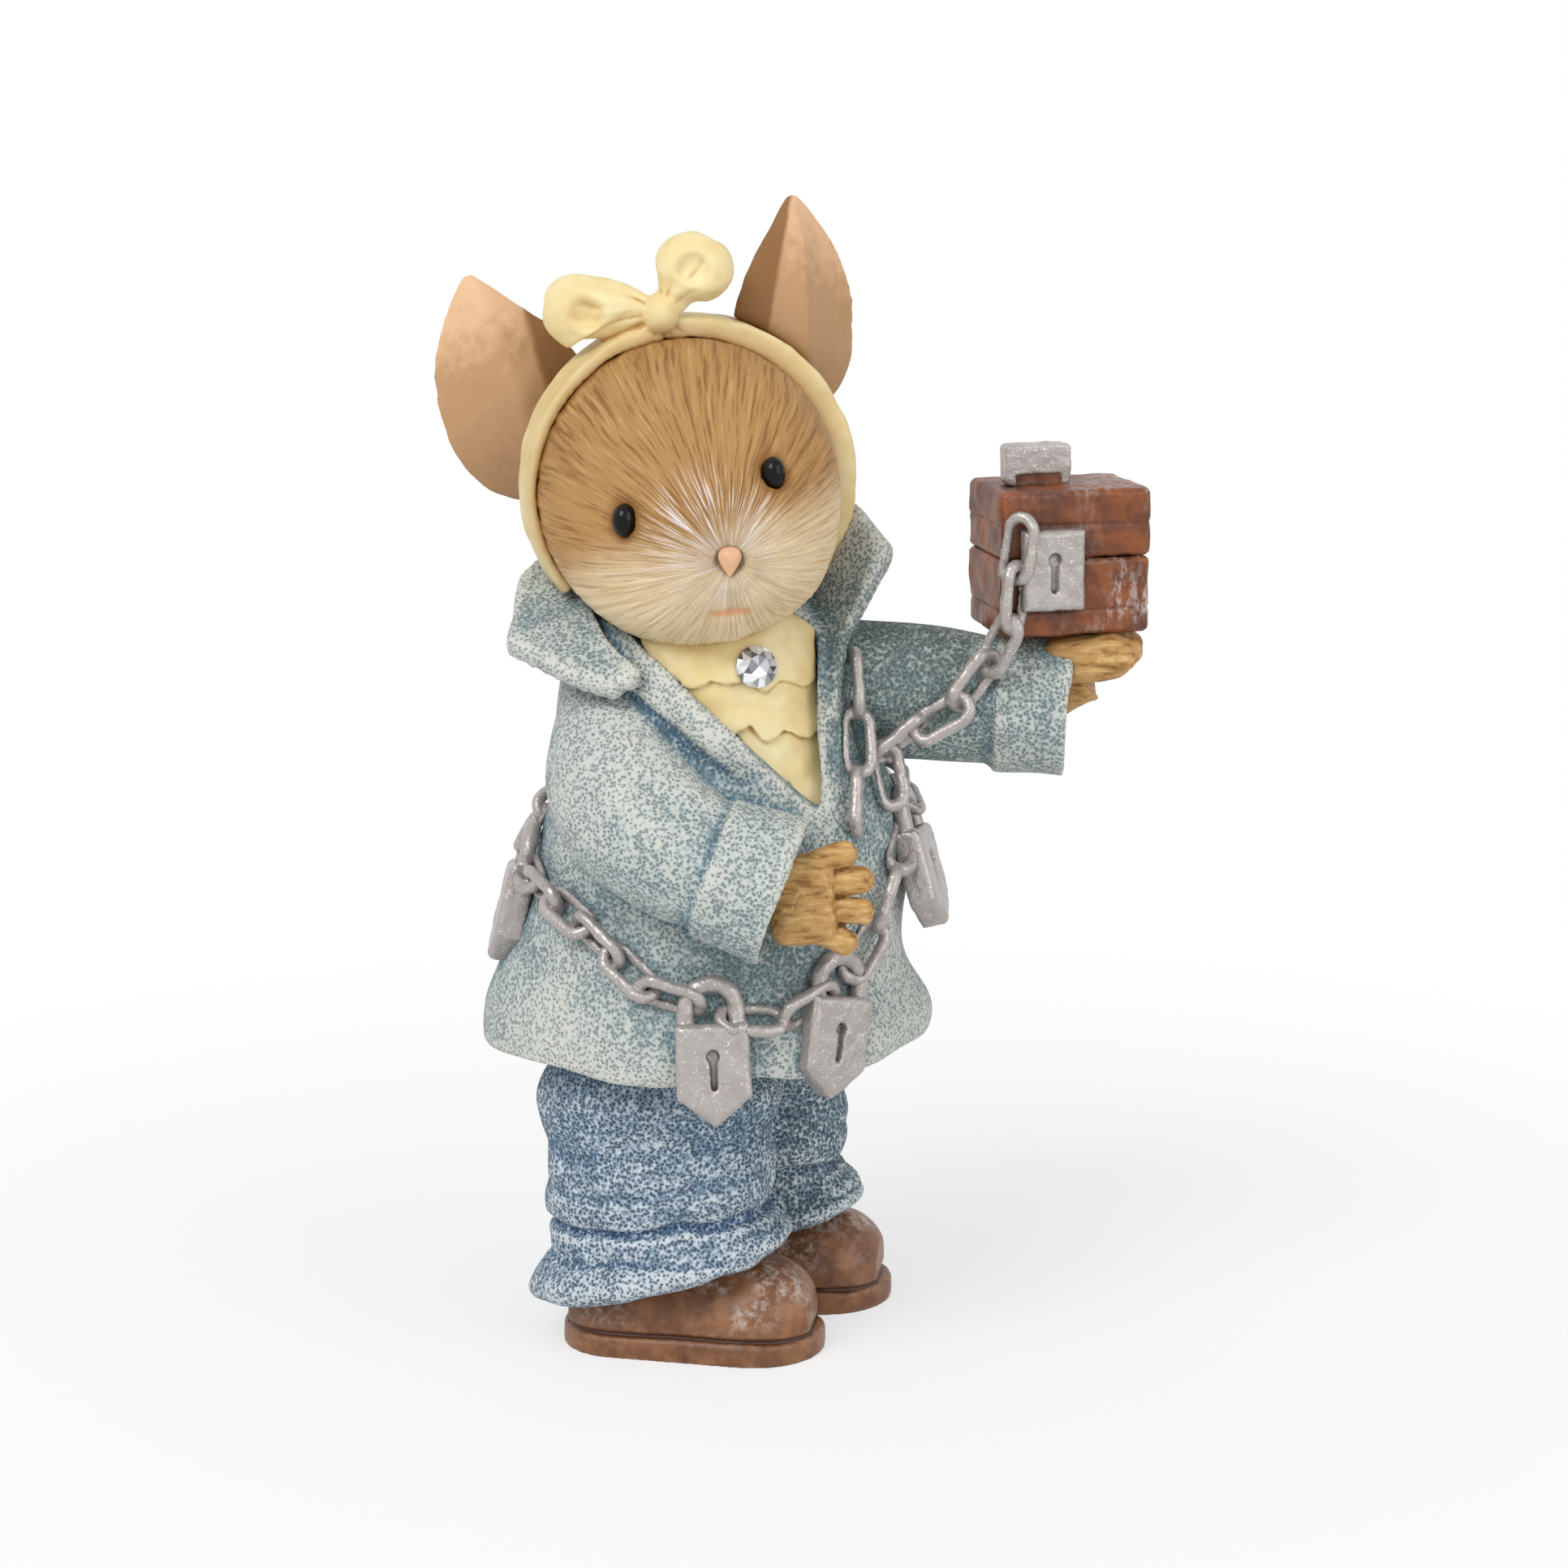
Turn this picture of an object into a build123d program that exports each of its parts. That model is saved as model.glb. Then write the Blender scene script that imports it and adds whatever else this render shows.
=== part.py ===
from build123d import *
import os
from math import cos, radians, sin

# A standing mouse figurine in a long coat, made of cast resin pieces bonded together.
# Millimetres. +X is the viewer's right, -Y points at the viewer and +Z is up.
# Positions are laid out from the axis of the coat at floor level, and the whole figure is
# moved at the end so that the origin lies under the middle of it.

# Bonded joints
glue_gap = 0.05
peg_radius = 0.8
peg_depth = 5.5
wrist_radius = 2.0
wrist_depth = 3.0
neck_radius = 2.8
neck_depth = 11.0
hip_radius = 2.6
hip_depth = 4.0

# Coat
hem_height = 23.3
coat_height = 34.0
hem_half_width = 16.1
waist_half_width = 13.6
chest_half_width = 10.8
neck_half_width = 5.8
coat_depth_share = 0.9
shirt_inset = 0.5
ruffle_step = 0.45
ruffle_drop = 0.55
vee_foot = 41.6
vee_reach = 8.0
vee_depth = -4.0
collar_thickness = 1.5

# Head
head_radius = 10.6
head_at = Vector(-1.7, -2.5, 64.5)
eye_half_width = 0.85
eye_half_height = 1.15
nose_half_width = 1.15
ear_ridge = 2.2
ear_thickness = 1.5

# Headband and bow
band_thickness = 4.1
band_width = 4.2
band_sink = 2.6
band_round = 0.4
band_turn = 15.0
band_start = -32.0
band_sweep = 250.0
bow_half_width = 2.55
bow_half_depth = 1.7
knot_radius = 1.35

# Limbs
sleeve_radius = 4.9
cuff_length = 5.3
cuff_rim = 0.75
cuff_recess = 0.7
cuff_step = 0.6
finger_radius = 0.95
leg_half_length = 8.9
leg_half_width = 6.3
leg_lean = 15.0

# Shoes
shoe_length = 19.6
toe_radius = 5.3
heel_radius = 4.5
sole_height = 1.7
welt = 0.45
upper_height = 5.4

# Chest
chest_width = 11.2
chest_depth = 8.0
chest_height = 10.5
lid_share = 0.47
plank_groove = 0.3
chest_turn = 15.0
strap_width = 4.9
strap_height = 2.9
strap_thickness = 0.75
strap_gap = 0.8
strap_depth = 1.7
lock_width = 4.6
lock_height = 5.8
lock_thickness = 1.2

# Chain and padlocks
link_length = 5.3
link_width = 2.8
wire = 0.78
link_play = 0.16
link_tilt = 40.0
link_lift = 0.62
bed_clearance = 0.12
slack_lift = 1.1
padlock_width = 5.2
padlock_height = 7.3
padlock_thickness = 2.0
padlock_point = 2.1
shackle_wire = 1.15
shackle_width = 4.8
shackle_rise = 2.3
keyhole_radius = 0.5
edge_chamfer = 0.28

# Half the clear length inside a link, and half the clear width inside a shackle
half_link = link_length / 2 - wire
half_bow = shackle_width / 2 - shackle_wire

# Crystal
crystal_radius = 1.55
crystal_table = 0.58
crystal_crown = 0.55
crystal_pavilion = 1.0


def oval(centre, half_width, half_depth):
    """A level oval."""
    return Pos(*centre) * Ellipse(half_width, half_depth)


def ellipsoid(centre, radii, turn=(0, 0, 0)):
    return Pos(*centre) * Rot(*turn) * scale(Sphere(1), by=radii)


def rod(start, end, radius):
    """A round bar between two points."""
    line = Vector(*end) - Vector(*start)
    bar = Cylinder(radius, line.length, align=(Align.CENTER, Align.CENTER, Align.MIN))
    return Plane(origin=start, z_dir=line) * bar


def limb(centres, radii, side, reach=None):
    """A limb lofted through circles square to the line of centres, the last square to its reach."""
    rings = []
    last = len(centres) - 1
    for i, centre in enumerate(centres):
        along = centres[min(i + 1, last)] - centres[max(i - 1, 0)]
        if i == last and reach:
            along = reach
        ring = Plane(origin=centre, x_dir=side.cross(along), z_dir=along)
        rings.append(ring * Circle(radii[i]))
    return loft(rings)


def largest(piece):
    return Part(max(piece.solids(), key=lambda solid: solid.volume).wrapped)


def apart(piece, other):
    """Whether two pieces are clear of one another by their boxes."""
    a = piece.bounding_box(optimal=False)
    b = other.bounding_box(optimal=False)
    gaps = [a.min - b.max, b.min - a.max]
    return any(max(gap.X, gap.Y, gap.Z) > 0 for gap in gaps)


def cut_by(piece, others):
    """The piece trimmed so that it seats against the others, without loose crumbs."""
    for other in others:
        if not apart(piece, other):
            piece = piece - other
    return largest(piece)


def hits(pieces, line):
    found = []
    for piece in pieces:
        for shell in piece.shells():
            found += shell.find_intersection_points(line)
    return found


def front_hit(pieces, x, z):
    """The point of the pieces nearest the viewer at a given side and height."""
    line = Axis((x, -60, z), (0, 1, 0))
    point, normal = min(hits(pieces, line), key=lambda hit: hit[0].Y)
    return point, normal if normal.Y < 0 else normal * -1


def round_hit(piece, angle, height):
    """The outside of a piece at an angle round the coat's axis."""
    out = Vector(cos(radians(angle)), sin(radians(angle)), 0)
    found = hits([piece], Axis((0, 0, height), out))
    point, normal = max(found, key=lambda hit: hit[0].dot(out))
    return point, normal if normal.dot(out) > 0 else normal * -1


def coat_oval(share, inset):
    """A cross section of the coat at a share of its height, drawn in by an inset."""
    stations = [
        (0.00, -0.7, 0.8, hem_half_width),
        (0.12, -0.6, 0.8, 0.8 * hem_half_width + 0.2 * waist_half_width),
        (0.42, 0.7, 0.3, waist_half_width),
        (0.62, 0.3, 0.0, 0.35 * waist_half_width + 0.65 * chest_half_width),
        (0.76, -0.2, -0.2, chest_half_width),
        (0.87, -0.3, -0.4, 0.82 * chest_half_width + 0.18 * neck_half_width),
        (0.95, -0.6, -0.8, 0.42 * chest_half_width + 0.58 * neck_half_width),
        (1.00, -1.0, -1.2, neck_half_width),
    ]
    for at, x, y, half_width in stations:
        if at >= share:
            depth = coat_depth_share + 0.08 * min(at, 0.8)
            centre = (x, y, hem_height + at * coat_height)
            return oval(centre, half_width - inset, depth * half_width - inset)


def coat_form(inset=0.0):
    shares = [0.0, 0.12, 0.42, 0.62, 0.76, 0.87, 0.95, 1.0]
    return loft([coat_oval(share, inset) for share in shares])


def vee(lower_edge=None):
    """The opening of the coat as seen from the front, above a scalloped edge if one is given."""
    top = hem_height + coat_height + 1
    opening = Polygon((vee_reach, vee_foot), (7.2, top), (-9.4, top), align=None)
    if lower_edge:
        left, right, scallops = lower_edge
        step = (right - left) / scallops
        edges = [Polyline((right.X, right.Y), (right.X, top), (left.X, top), (left.X, left.Y))]
        for i in range(scallops):
            start = left + step * i
            end = left + step * (i + 1)
            low = (start + end) / 2 - Vector(0, ruffle_drop)
            edges.append(ThreePointArc(start, low, end))
        opening = opening & make_face(edges)
    front = Plane(origin=(0, vee_depth, 0), x_dir=(1, 0, 0), z_dir=(0, -1, 0))
    return extrude(front * opening, 20, dir=(0, -1, 0))


def shirt_front():
    """The ruffled shirt: three tiers, each overlapping the one below with a scalloped edge."""
    tiers = [
        None,
        (Vector(-2.0, 48.6), Vector(10.0, 47.4), 5),
        (Vector(-5.0, 51.8), Vector(10.0, 51.6), 6),
    ]
    piece = None
    for i, edge in enumerate(tiers):
        inset = shirt_inset + ruffle_step * (len(tiers) - 1 - i)
        tier = coat_form(inset) & vee(edge)
        piece = piece + tier if piece else tier
    return piece


def head_form():
    """Skull and muzzle lofted from the back of the head to the tip of the nose."""
    stations = [
        # shares of the head radius: forward, sideways, upwards, half width, half height
        (-0.99, 0.00, 0.00, 0.16, 0.15),
        (-0.92, 0.00, 0.00, 0.42, 0.41),
        (-0.70, 0.00, 0.00, 0.73, 0.71),
        (-0.35, 0.00, 0.00, 0.94, 0.92),
        (0.10, 0.00, 0.00, 1.02, 1.00),
        (0.42, 0.04, -0.05, 0.98, 0.95),
        (0.70, 0.10, -0.14, 0.83, 0.79),
        (0.95, 0.20, -0.25, 0.58, 0.54),
        (1.10, 0.26, -0.30, 0.36, 0.33),
        (1.20, 0.29, -0.32, 0.18, 0.17),
    ]
    sections = []
    for forward, side, up, half_width, half_height in stations:
        centre = head_at + Vector(side, -forward, up) * head_radius
        face = Plane(origin=centre, x_dir=(1, 0, 0), z_dir=(0, -1, 0))
        sections.append(face * Ellipse(half_width * head_radius, half_height * head_radius))
    return loft(sections)


def ear(bottom, tip, lateral, facing):
    """A leaf-shaped ear with a fold that stands towards the viewer."""
    stations = [
        # share of the length, reach towards the head, reach away from it
        (0.00, 1.6, 1.5),
        (0.10, 4.2, 3.7),
        (0.30, 6.2, 5.2),
        (0.58, 5.6, 5.0),
        (0.82, 2.9, 3.2),
        (0.95, 1.1, 1.3),
        (1.00, 0.35, 0.4),
    ]
    axis = tip - bottom
    sections = []
    for share, inner, outer in stations:
        ridge = facing * ear_ridge * (inner + outer) / 10
        back = -facing * ear_thickness * (0.25 + 0.075 * (inner + outer))
        fold = Vector(-0.15 * inner, ridge)
        edge = Vector(outer, 0.2 * ridge)
        root = Vector(-inner, 0)
        hollow = (fold + edge) / 2 - Vector(0, 0.16 * ridge)
        swell = (fold + root) / 2 + Vector(0, 0.08 * ridge)
        outline = [
            ThreePointArc(root, swell, fold),
            ThreePointArc(fold, hollow, edge),
            ThreePointArc(edge, Vector((outer - inner) / 2, back), root),
        ]
        level = Plane(origin=bottom + axis * share, x_dir=lateral, z_dir=axis)
        sections.append(level * make_face(outline))
    return loft(sections)


def headband():
    """The band over the head, a ring open under the jaw."""
    inner = head_radius - band_sink
    strip = RectangleRounded(band_thickness, band_width, band_round)
    profile = Plane.XZ * Pos(inner + band_thickness / 2, 0) * strip
    ring = revolve(profile, Axis.Z, band_sweep)
    centre = head_at + Vector(0, 0.19 * head_radius, 0)
    turn = radians(band_turn)
    face = Plane(origin=centre, x_dir=(cos(turn), sin(turn), 0), z_dir=(sin(turn), -cos(turn), 0))
    return face * Rot(0, 0, band_start) * ring


def bow_loop(root, tip):
    """One loop of the bow with a hollow pressed into its front."""
    axis = tip - root
    side = Vector(0, 1, 0).cross(axis)
    stations = [(0.0, 0.4), (0.15, 0.55), (0.4, 0.9), (0.65, 1.0), (0.85, 0.8), (0.97, 0.4)]
    sections = []
    for share, swell in stations:
        level = Plane(origin=root + axis * share, x_dir=side, z_dir=axis)
        sections.append(level * Ellipse(swell * bow_half_width, swell * bow_half_depth))
    loop = loft(sections)
    hollow_at = root + axis * 0.6 + Vector(0, -1.1 * bow_half_depth, 0)
    return loop - ellipsoid(hollow_at, (1.5, 0.6 * bow_half_depth, 1.5))


def flap(folds, thickness):
    """A cloth flap lofted through its folds, each drawn from the root to the free edge."""
    middles = [(root + edge) / 2 for root, edge in folds]
    last = len(folds) - 1
    sections = []
    for i, (root, edge) in enumerate(folds):
        along = middles[min(i + 1, last)] - middles[max(i - 1, 0)]
        out = (edge - root).cross(along).normalized() * thickness / 2
        corners = [root + out, edge + out * 0.8, edge - out * 0.8, root - out]
        sections.append(make_face(Polyline(*corners, close=True)))
    return loft(sections, ruled=True)


def collar():
    """The collar: laid open on one shoulder, turned up round the neck and on the other."""
    folds = [
        (Vector(-5.0, -9.9, 52.4), Vector(-6.6, -11.2, 51.2)),
        (Vector(-7.0, -8.3, 54.0), Vector(-10.2, -10.2, 52.4)),
        (Vector(-8.3, -5.2, 55.6), Vector(-14.4, -7.3, 53.9)),
        (Vector(-8.6, -1.0, 56.2), Vector(-13.8, -0.5, 57.4)),
        (Vector(-7.0, 4.5, 56.2), Vector(-10.0, 6.5, 60.4)),
        (Vector(-1.5, 7.2, 56.2), Vector(-1.8, 10.0, 61.6)),
        (Vector(4.8, 5.0, 56.2), Vector(7.6, 7.4, 62.2)),
        (Vector(7.2, 1.0, 56.0), Vector(10.2, 1.8, 62.6)),
        (Vector(8.2, -2.2, 54.8), Vector(12.9, -1.6, 60.0)),
        (Vector(8.2, -4.4, 52.6), Vector(9.7, -4.6, 54.0)),
        (Vector(8.2, -6.6, 48.6), Vector(9.0, -6.8, 48.8)),
    ]
    return flap(folds, collar_thickness)


def cuff(start, end, radius, flare):
    """A turned-back cuff with a shallow mouth."""
    along = (end - start).normalized()
    side = along.cross(Vector(0, 1, 0.01))
    mouth = end - along * cuff_recess
    bowl = limb([mouth, end + along], [flare - cuff_rim, flare - cuff_rim], side)
    return limb([start, end], [radius, flare], side) - bowl


def paw(palm, fingers):
    """A paw in its own plane: a flat palm and four fingers fanned out along X."""
    length, width, thickness = palm
    slab = Box(length, width, thickness)
    piece = fillet(slab.edges(), 0.4 * thickness)
    for offset, reach, turn in fingers:
        start = Vector(0.1 * length, offset, 0)
        end = start + Vector(cos(radians(turn)), sin(radians(turn)), 0) * reach
        piece += rod(start, end, finger_radius)
        piece += Pos(*end) * Sphere(finger_radius)
    return piece


def leg(foot, hip, lean_to):
    """A trouser leg with rolled folds, its lower edge rising over the instep."""
    stations = [
        # share of the height, share of the girth
        (0.00, 0.94),
        (0.14, 1.00),
        (0.28, 0.94),
        (0.42, 0.99),
        (0.56, 0.95),
        (0.70, 0.99),
        (0.85, 1.00),
        (1.00, 1.00),
    ]
    sections = []
    for share, girth in stations:
        lean = radians(leg_lean * (1 - share))
        level = Plane(
            origin=foot + (hip - foot) * share,
            x_dir=lean_to * cos(lean) + Vector(0, 0, sin(lean)),
            z_dir=Vector(0, 0, cos(lean)) - lean_to * sin(lean),
        )
        sections.append(level * Ellipse(girth * leg_half_length, girth * leg_half_width))
    return loft(sections)


def shoe_outline(inset):
    heel = Pos(heel_radius, 0) * Circle(heel_radius - inset)
    toe = Pos(shoe_length - toe_radius, 0) * Circle(toe_radius - inset)
    return make_hull(heel.edges() + toe.edges())


def shoe_sole():
    """A flat sole, lengthwise along X from the heel."""
    sole = extrude(shoe_outline(0), sole_height)
    return fillet(sole.edges().group_by(Axis.Z)[-1], 0.3)


def shoe_upper():
    """The upper: low at the toe seam, domed over the toe and full at the instep."""
    stations = [
        # share of the length, half width, height
        (0.03, 0.45, 0.50),
        (0.12, 0.78, 0.86),
        (0.30, 0.90, 1.00),
        (0.55, 0.95, 1.02),
        (0.75, 1.00, 1.00),
        (0.88, 0.86, 0.86),
        (0.96, 0.52, 0.55),
    ]
    sections = []
    for share, half_width, height in stations:
        across = (toe_radius - welt) * half_width
        rise = upper_height * height
        arch = EllipticalCenterArc((0, 0), across, rise, 0, arc_size=180)
        foot = (share * shoe_length, 0, sole_height)
        level = Plane(origin=foot, x_dir=(0, 1, 0), z_dir=(1, 0, 0))
        sections.append(level * make_face([arch, Line(arch @ 1, arch @ 0)]))
    return loft(sections)


def chest_half(bottom, height):
    """A planked half of the chest with worn edges."""
    block = Pos(0, 0, bottom) * extrude(Rectangle(chest_width, chest_depth), height)
    return chamfer(block.edges(), plank_groove)


def plank_line(height):
    """A frame that cuts a groove round the chest between two planks."""
    outer = Rectangle(chest_width + 1, chest_depth + 1)
    inner = Rectangle(chest_width - plank_groove, chest_depth - plank_groove)
    return Pos(0, 0, height) * extrude(outer - inner, plank_groove)


def keyhole(depth):
    """The cutter for a keyhole, a round eye over a slot, sunk from the front plane."""
    eye = Pos(0, 1.6 * keyhole_radius) * Circle(keyhole_radius)
    slot = SlotOverall(4.6 * keyhole_radius, 1.1 * keyhole_radius, rotation=90)
    slot = Pos(0, -keyhole_radius) * slot
    return extrude(eye + slot, -depth)


def chest_strap():
    """The lifting strap, bent from flat bar."""
    outer = Pos(0, strap_height / 2) * RectangleRounded(strap_width, strap_height, 0.4)
    inner_width = strap_width - 2 * strap_thickness
    opening = Rectangle(inner_width, 2 * strap_gap)
    return Plane.XZ * Pos(0, 0, -strap_depth / 2) * extrude(outer - opening, strap_depth)


def chest_lock():
    plate = extrude(Rectangle(lock_width, lock_height), lock_thickness)
    plate = chamfer(plate.faces().sort_by(Axis.Z)[-1].edges(), edge_chamfer)
    return plate - Pos(0, 0, lock_thickness) * keyhole(lock_thickness / 2)


def link():
    """One oval link lying along X."""
    bend = (link_width - wire) / 2
    reach = link_length / 2 - link_width / 2
    section = Plane.XZ * Pos(bend, 0) * Circle(wire / 2)
    end = Rot(0, 0, -90) * revolve(section, Axis.Z, 180)
    bar = Rot(0, 90, 0) * Cylinder(wire / 2, 2 * reach)
    piece = Pos(reach, 0, 0) * end + Pos(-reach, 0, 0) * Rot(0, 0, 180) * end
    return piece + Pos(0, bend, 0) * bar + Pos(0, -bend, 0) * bar


def shackle():
    """The bow of a padlock in the XY plane, its feet let into the body below."""
    bend = (shackle_width - shackle_wire) / 2
    section = Plane.XZ * Pos(bend, 0) * Circle(shackle_wire / 2)
    bow = revolve(section, Axis.Z, 180)
    right_foot = rod((bend, 0, 0), (bend, -shackle_rise, 0), shackle_wire / 2)
    left_foot = rod((-bend, 0, 0), (-bend, -shackle_rise, 0), shackle_wire / 2)
    return bow + right_foot + left_foot


def padlock_body():
    """A five-sided padlock body hanging under its bow, with a keyhole in front."""
    half = padlock_width / 2
    top = -0.45 * shackle_rise
    shoulder = top - padlock_height + padlock_point
    tip = (0, top - padlock_height)
    corners = [(half, top), (-half, top), (-half, shoulder), tip, (half, shoulder)]
    body = extrude(Polygon(*corners, align=None), padlock_thickness / 2, both=True)
    body = chamfer(body.faces().sort_by(Axis.Z)[-1].edges(), edge_chamfer)
    hole = Pos(0, top - 0.42 * padlock_height, padlock_thickness / 2)
    return body - hole * keyhole(0.4 * padlock_thickness)


def bedded_link(tilt):
    """A link tipped to one side, flattened underneath where it lies on the cloth."""
    bed = extrude(Rectangle(2 * link_length, 2 * link_length), -link_length)
    return Rot(tilt, 0, 0) * link() - Pos(0, 0, bed_clearance - link_lift) * bed


def laid_chain(path, stations, surface, neighbours):
    """Links along a line, tipped to alternate sides so that each one threads the next."""
    patterns = [bedded_link(-link_tilt), bedded_link(link_tilt)]
    links = []
    for i, distance in enumerate(stations):
        at = path.position_at(distance, position_mode=PositionMode.LENGTH)
        along = path.tangent_at(distance, position_mode=PositionMode.LENGTH)
        point, normal = surface(at, distance / path.length)
        across = normal.cross(along)
        out = along.cross(across).normalized()
        plane = Plane(origin=point + out * link_lift, x_dir=along, z_dir=out)
        links.append(cut_by(plane * patterns[i % 2], links[-1:] + neighbours))
    return links


def spread(start, end, lead):
    """Even stations for whole links between two ends, each end set in by a lead."""
    pitch = 2 * half_link - link_play
    span = end - start - 2 * lead
    count = max(1, round(span / pitch)) + 1
    return [start + lead + span * i / (count - 1) for i in range(count)]


def stop_at(path, angle):
    """How far along a line round the coat an angle is met."""
    way = Vector(cos(radians(angle)), sin(radians(angle)), 0)
    steps = 400

    def closeness(step):
        at = path.position_at(step / steps)
        return Vector(at.X, at.Y, 0).normalized().dot(way)

    return max(range(steps), key=closeness) / steps * path.length


def hung_chain(course, neighbours):
    """A chain along a course of points, each with the way the surface faces there."""
    path = Spline(*[point for point, normal in course])

    def surface(at, share):
        place = min(share, 0.999) * (len(course) - 1)
        before = course[int(place)][1]
        after = course[int(place) + 1][1]
        return at, before + (after - before) * (place % 1)

    return laid_chain(path, spread(0, path.length, half_link), surface, neighbours)


# Coat, shirt and head
head = head_form()
neck_top = head_at - Vector(0, -1.0, 0.6 * head_radius)
neck_foot = neck_top - Vector(0, 0, neck_depth)
neck = rod(neck_top, neck_foot, neck_radius)
neck_socket = rod(neck_top, neck_foot - Vector(0, 0, glue_gap), neck_radius + glue_gap)
shirt = cut_by(shirt_front(), [head, neck_socket])
coat = cut_by(coat_form() - vee(), [head, neck_socket])

# Face
eyes = []
for x, z in [(-5.9, 63.6), (4.5, 66.9)]:
    point, normal = front_hit([head], x, z)
    eyes.append(ellipsoid(point - normal * 0.1, (eye_half_width, 0.9, eye_half_height)))
nose_at = head_at + Vector(0.3, -1.2, -0.31) * head_radius
nose = ellipsoid(nose_at, (nose_half_width, 0.9, 0.9 * nose_half_width))

# Headband, bow and ears
band = headband()
band_rise = band_thickness - band_sink
band_top = head_at + Vector(-0.17, 0.0, 1.02) * head_radius + Vector(0, 0, band_rise)
knot = ellipsoid(band_top + Vector(0, -0.4, 0.1), (knot_radius, knot_radius, 1.1 * knot_radius))
bow_right = bow_loop(band_top + Vector(-0.6, -0.2, 0.2), band_top + Vector(-8.3, 0.4, 1.2))
bow_left = bow_loop(band_top + Vector(0.6, -0.2, 0.5), band_top + Vector(3.5, 0.4, 6.1))
right_ear = ear(Vector(-12.4, 3.4, 62.9), Vector(-17.6, 3.8, 78.9), Vector(-0.94, 0, -0.34), 1)
left_ear = ear(Vector(6.3, 4.2, 68.6), Vector(5.8, 4.8, 84.6), Vector(0.74, 0.67, 0), -1)

# Right arm, folded over the belly
right_line = [
    Vector(-6.2, -1.5, 50.3),
    Vector(-6.6, -6.2, 46.6),
    Vector(-5.8, -10.4, 42.9),
    Vector(-3.0, -12.9, 40.6),
    Vector(0.2, -13.8, 39.3),
]
right_girth = [0.86, 1.0, 1.06, 1.02, 0.93]
right_reach = Vector(0.94, -0.12, -0.32).normalized()
right_radii = [sleeve_radius * share for share in right_girth]
right_sleeve = limb(right_line, right_radii, Vector(0.6, 0.3, 0.7), right_reach)
right_wrist = right_line[-1] + right_reach * cuff_length
right_turn_up = right_radii[-1] + cuff_step
right_cuff = cuff(right_line[-1], right_wrist, right_turn_up, 1.06 * right_turn_up)

# Left arm, held out to the side
left_line = [Vector(6.0, 1.3, 49.3), Vector(13.0, 1.4, 48.9), Vector(20.6, 0.8, 48.2)]
left_reach = Vector(1.0, -0.05, -0.05).normalized()
left_radii = [sleeve_radius, 1.02 * sleeve_radius, 0.94 * sleeve_radius]
left_sleeve = limb(left_line, left_radii, Vector(0, 1, 0), left_reach)
left_wrist = left_line[-1] + left_reach * cuff_length
left_turn_up = left_radii[-1] + cuff_step
left_cuff = cuff(left_line[-1], left_wrist, left_turn_up, left_turn_up)

# Paws, each on a wrist let into its cuff
right_palm = Plane(
    origin=right_wrist + right_reach * 1.3,
    x_dir=(0.96, -0.15, 0.1),
    z_dir=(0.1, -1, 0.1),
)
right_fingers = [(2.2, 2.9, 14), (0.75, 3.9, 3), (-0.75, 3.7, -9), (-2.1, 2.7, -28)]
right_hand = right_palm * paw((4.8, 6.4, 3.2), right_fingers)
right_heel_of_hand = right_wrist + right_reach
right_root = right_wrist - right_reach * wrist_depth
right_peg = rod(right_heel_of_hand, right_root, wrist_radius)
right_socket = rod(right_heel_of_hand, right_root - right_reach * glue_gap, wrist_radius + glue_gap)
left_palm = Plane(
    origin=left_wrist + Vector(1.2, -0.6, 4.0),
    x_dir=(0.98, -0.1, 0.14),
    z_dir=(-0.14, -0.1, 1),
)
left_fingers = [(1.95, 2.2, 12), (0.65, 2.6, 4), (-0.65, 2.6, -4), (-1.95, 2.2, -12)]
left_hand = left_palm * paw((6.6, 5.8, 3.6), left_fingers)
left_heel_of_hand = left_wrist + Vector(1.2, -0.5, 2.4)
left_root = left_wrist - left_reach * wrist_depth
left_peg = rod(left_heel_of_hand, left_root, wrist_radius)
left_socket = rod(left_heel_of_hand, left_root - left_reach * glue_gap, wrist_radius + glue_gap)

# Chest, standing on the left paw
chest_floor = 53.8
chest_frame = Plane(
    origin=(25.1, 0.6, chest_floor),
    x_dir=(cos(radians(chest_turn)), sin(radians(chest_turn)), 0),
    z_dir=(0, 0, 1),
)
seam = (1 - lid_share) * chest_height
chest_box = chest_frame * (chest_half(0, seam) - plank_line(0.16 * chest_height))
chest_lid = chest_frame * (chest_half(seam, chest_height - seam) - plank_line(0.75 * chest_height))
strap = chest_frame * Pos(-1.9, 0, chest_height) * chest_strap()
lock_face = Pos(-2.0, -chest_depth / 2, 0.47 * chest_height) * Rot(90, 0, 0)
lock_plate = chest_frame * lock_face * chest_lock()
left_hand = left_hand + left_peg
left_hand = cut_by(left_hand, [chest_box, left_cuff - left_socket])

# Legs and shoes
stride = Vector(0.99, -0.14, 0).normalized()
right_heel = Vector(-11.2, -0.9, 0)
left_heel = Vector(-6.0, 10.6, 0)
right_foot_frame = Plane(origin=right_heel, x_dir=stride, z_dir=(0, 0, 1))
left_foot_frame = Plane(origin=left_heel, x_dir=stride, z_dir=(0, 0, 1))
right_sole = right_foot_frame * shoe_sole()
left_sole = left_foot_frame * shoe_sole()
right_leg = leg(Vector(-4.0, -2.2, 5.6), Vector(-3.9, -2.2, hem_height), stride)
left_leg = leg(Vector(1.6, 8.4, 5.6), Vector(1.4, 7.4, hem_height), stride)
left_leg = cut_by(left_leg, [right_leg])
hips = []
hip_sockets = []
for x, y in [(-3.9, -2.2), (1.4, 7.9)]:
    low = Vector(x, y, hem_height - 1)
    top = Vector(x, y, hem_height + hip_depth)
    hips.append(rod(low, top, hip_radius))
    hip_sockets.append(rod(low, top + Vector(0, 0, glue_gap), hip_radius + glue_gap))
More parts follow.
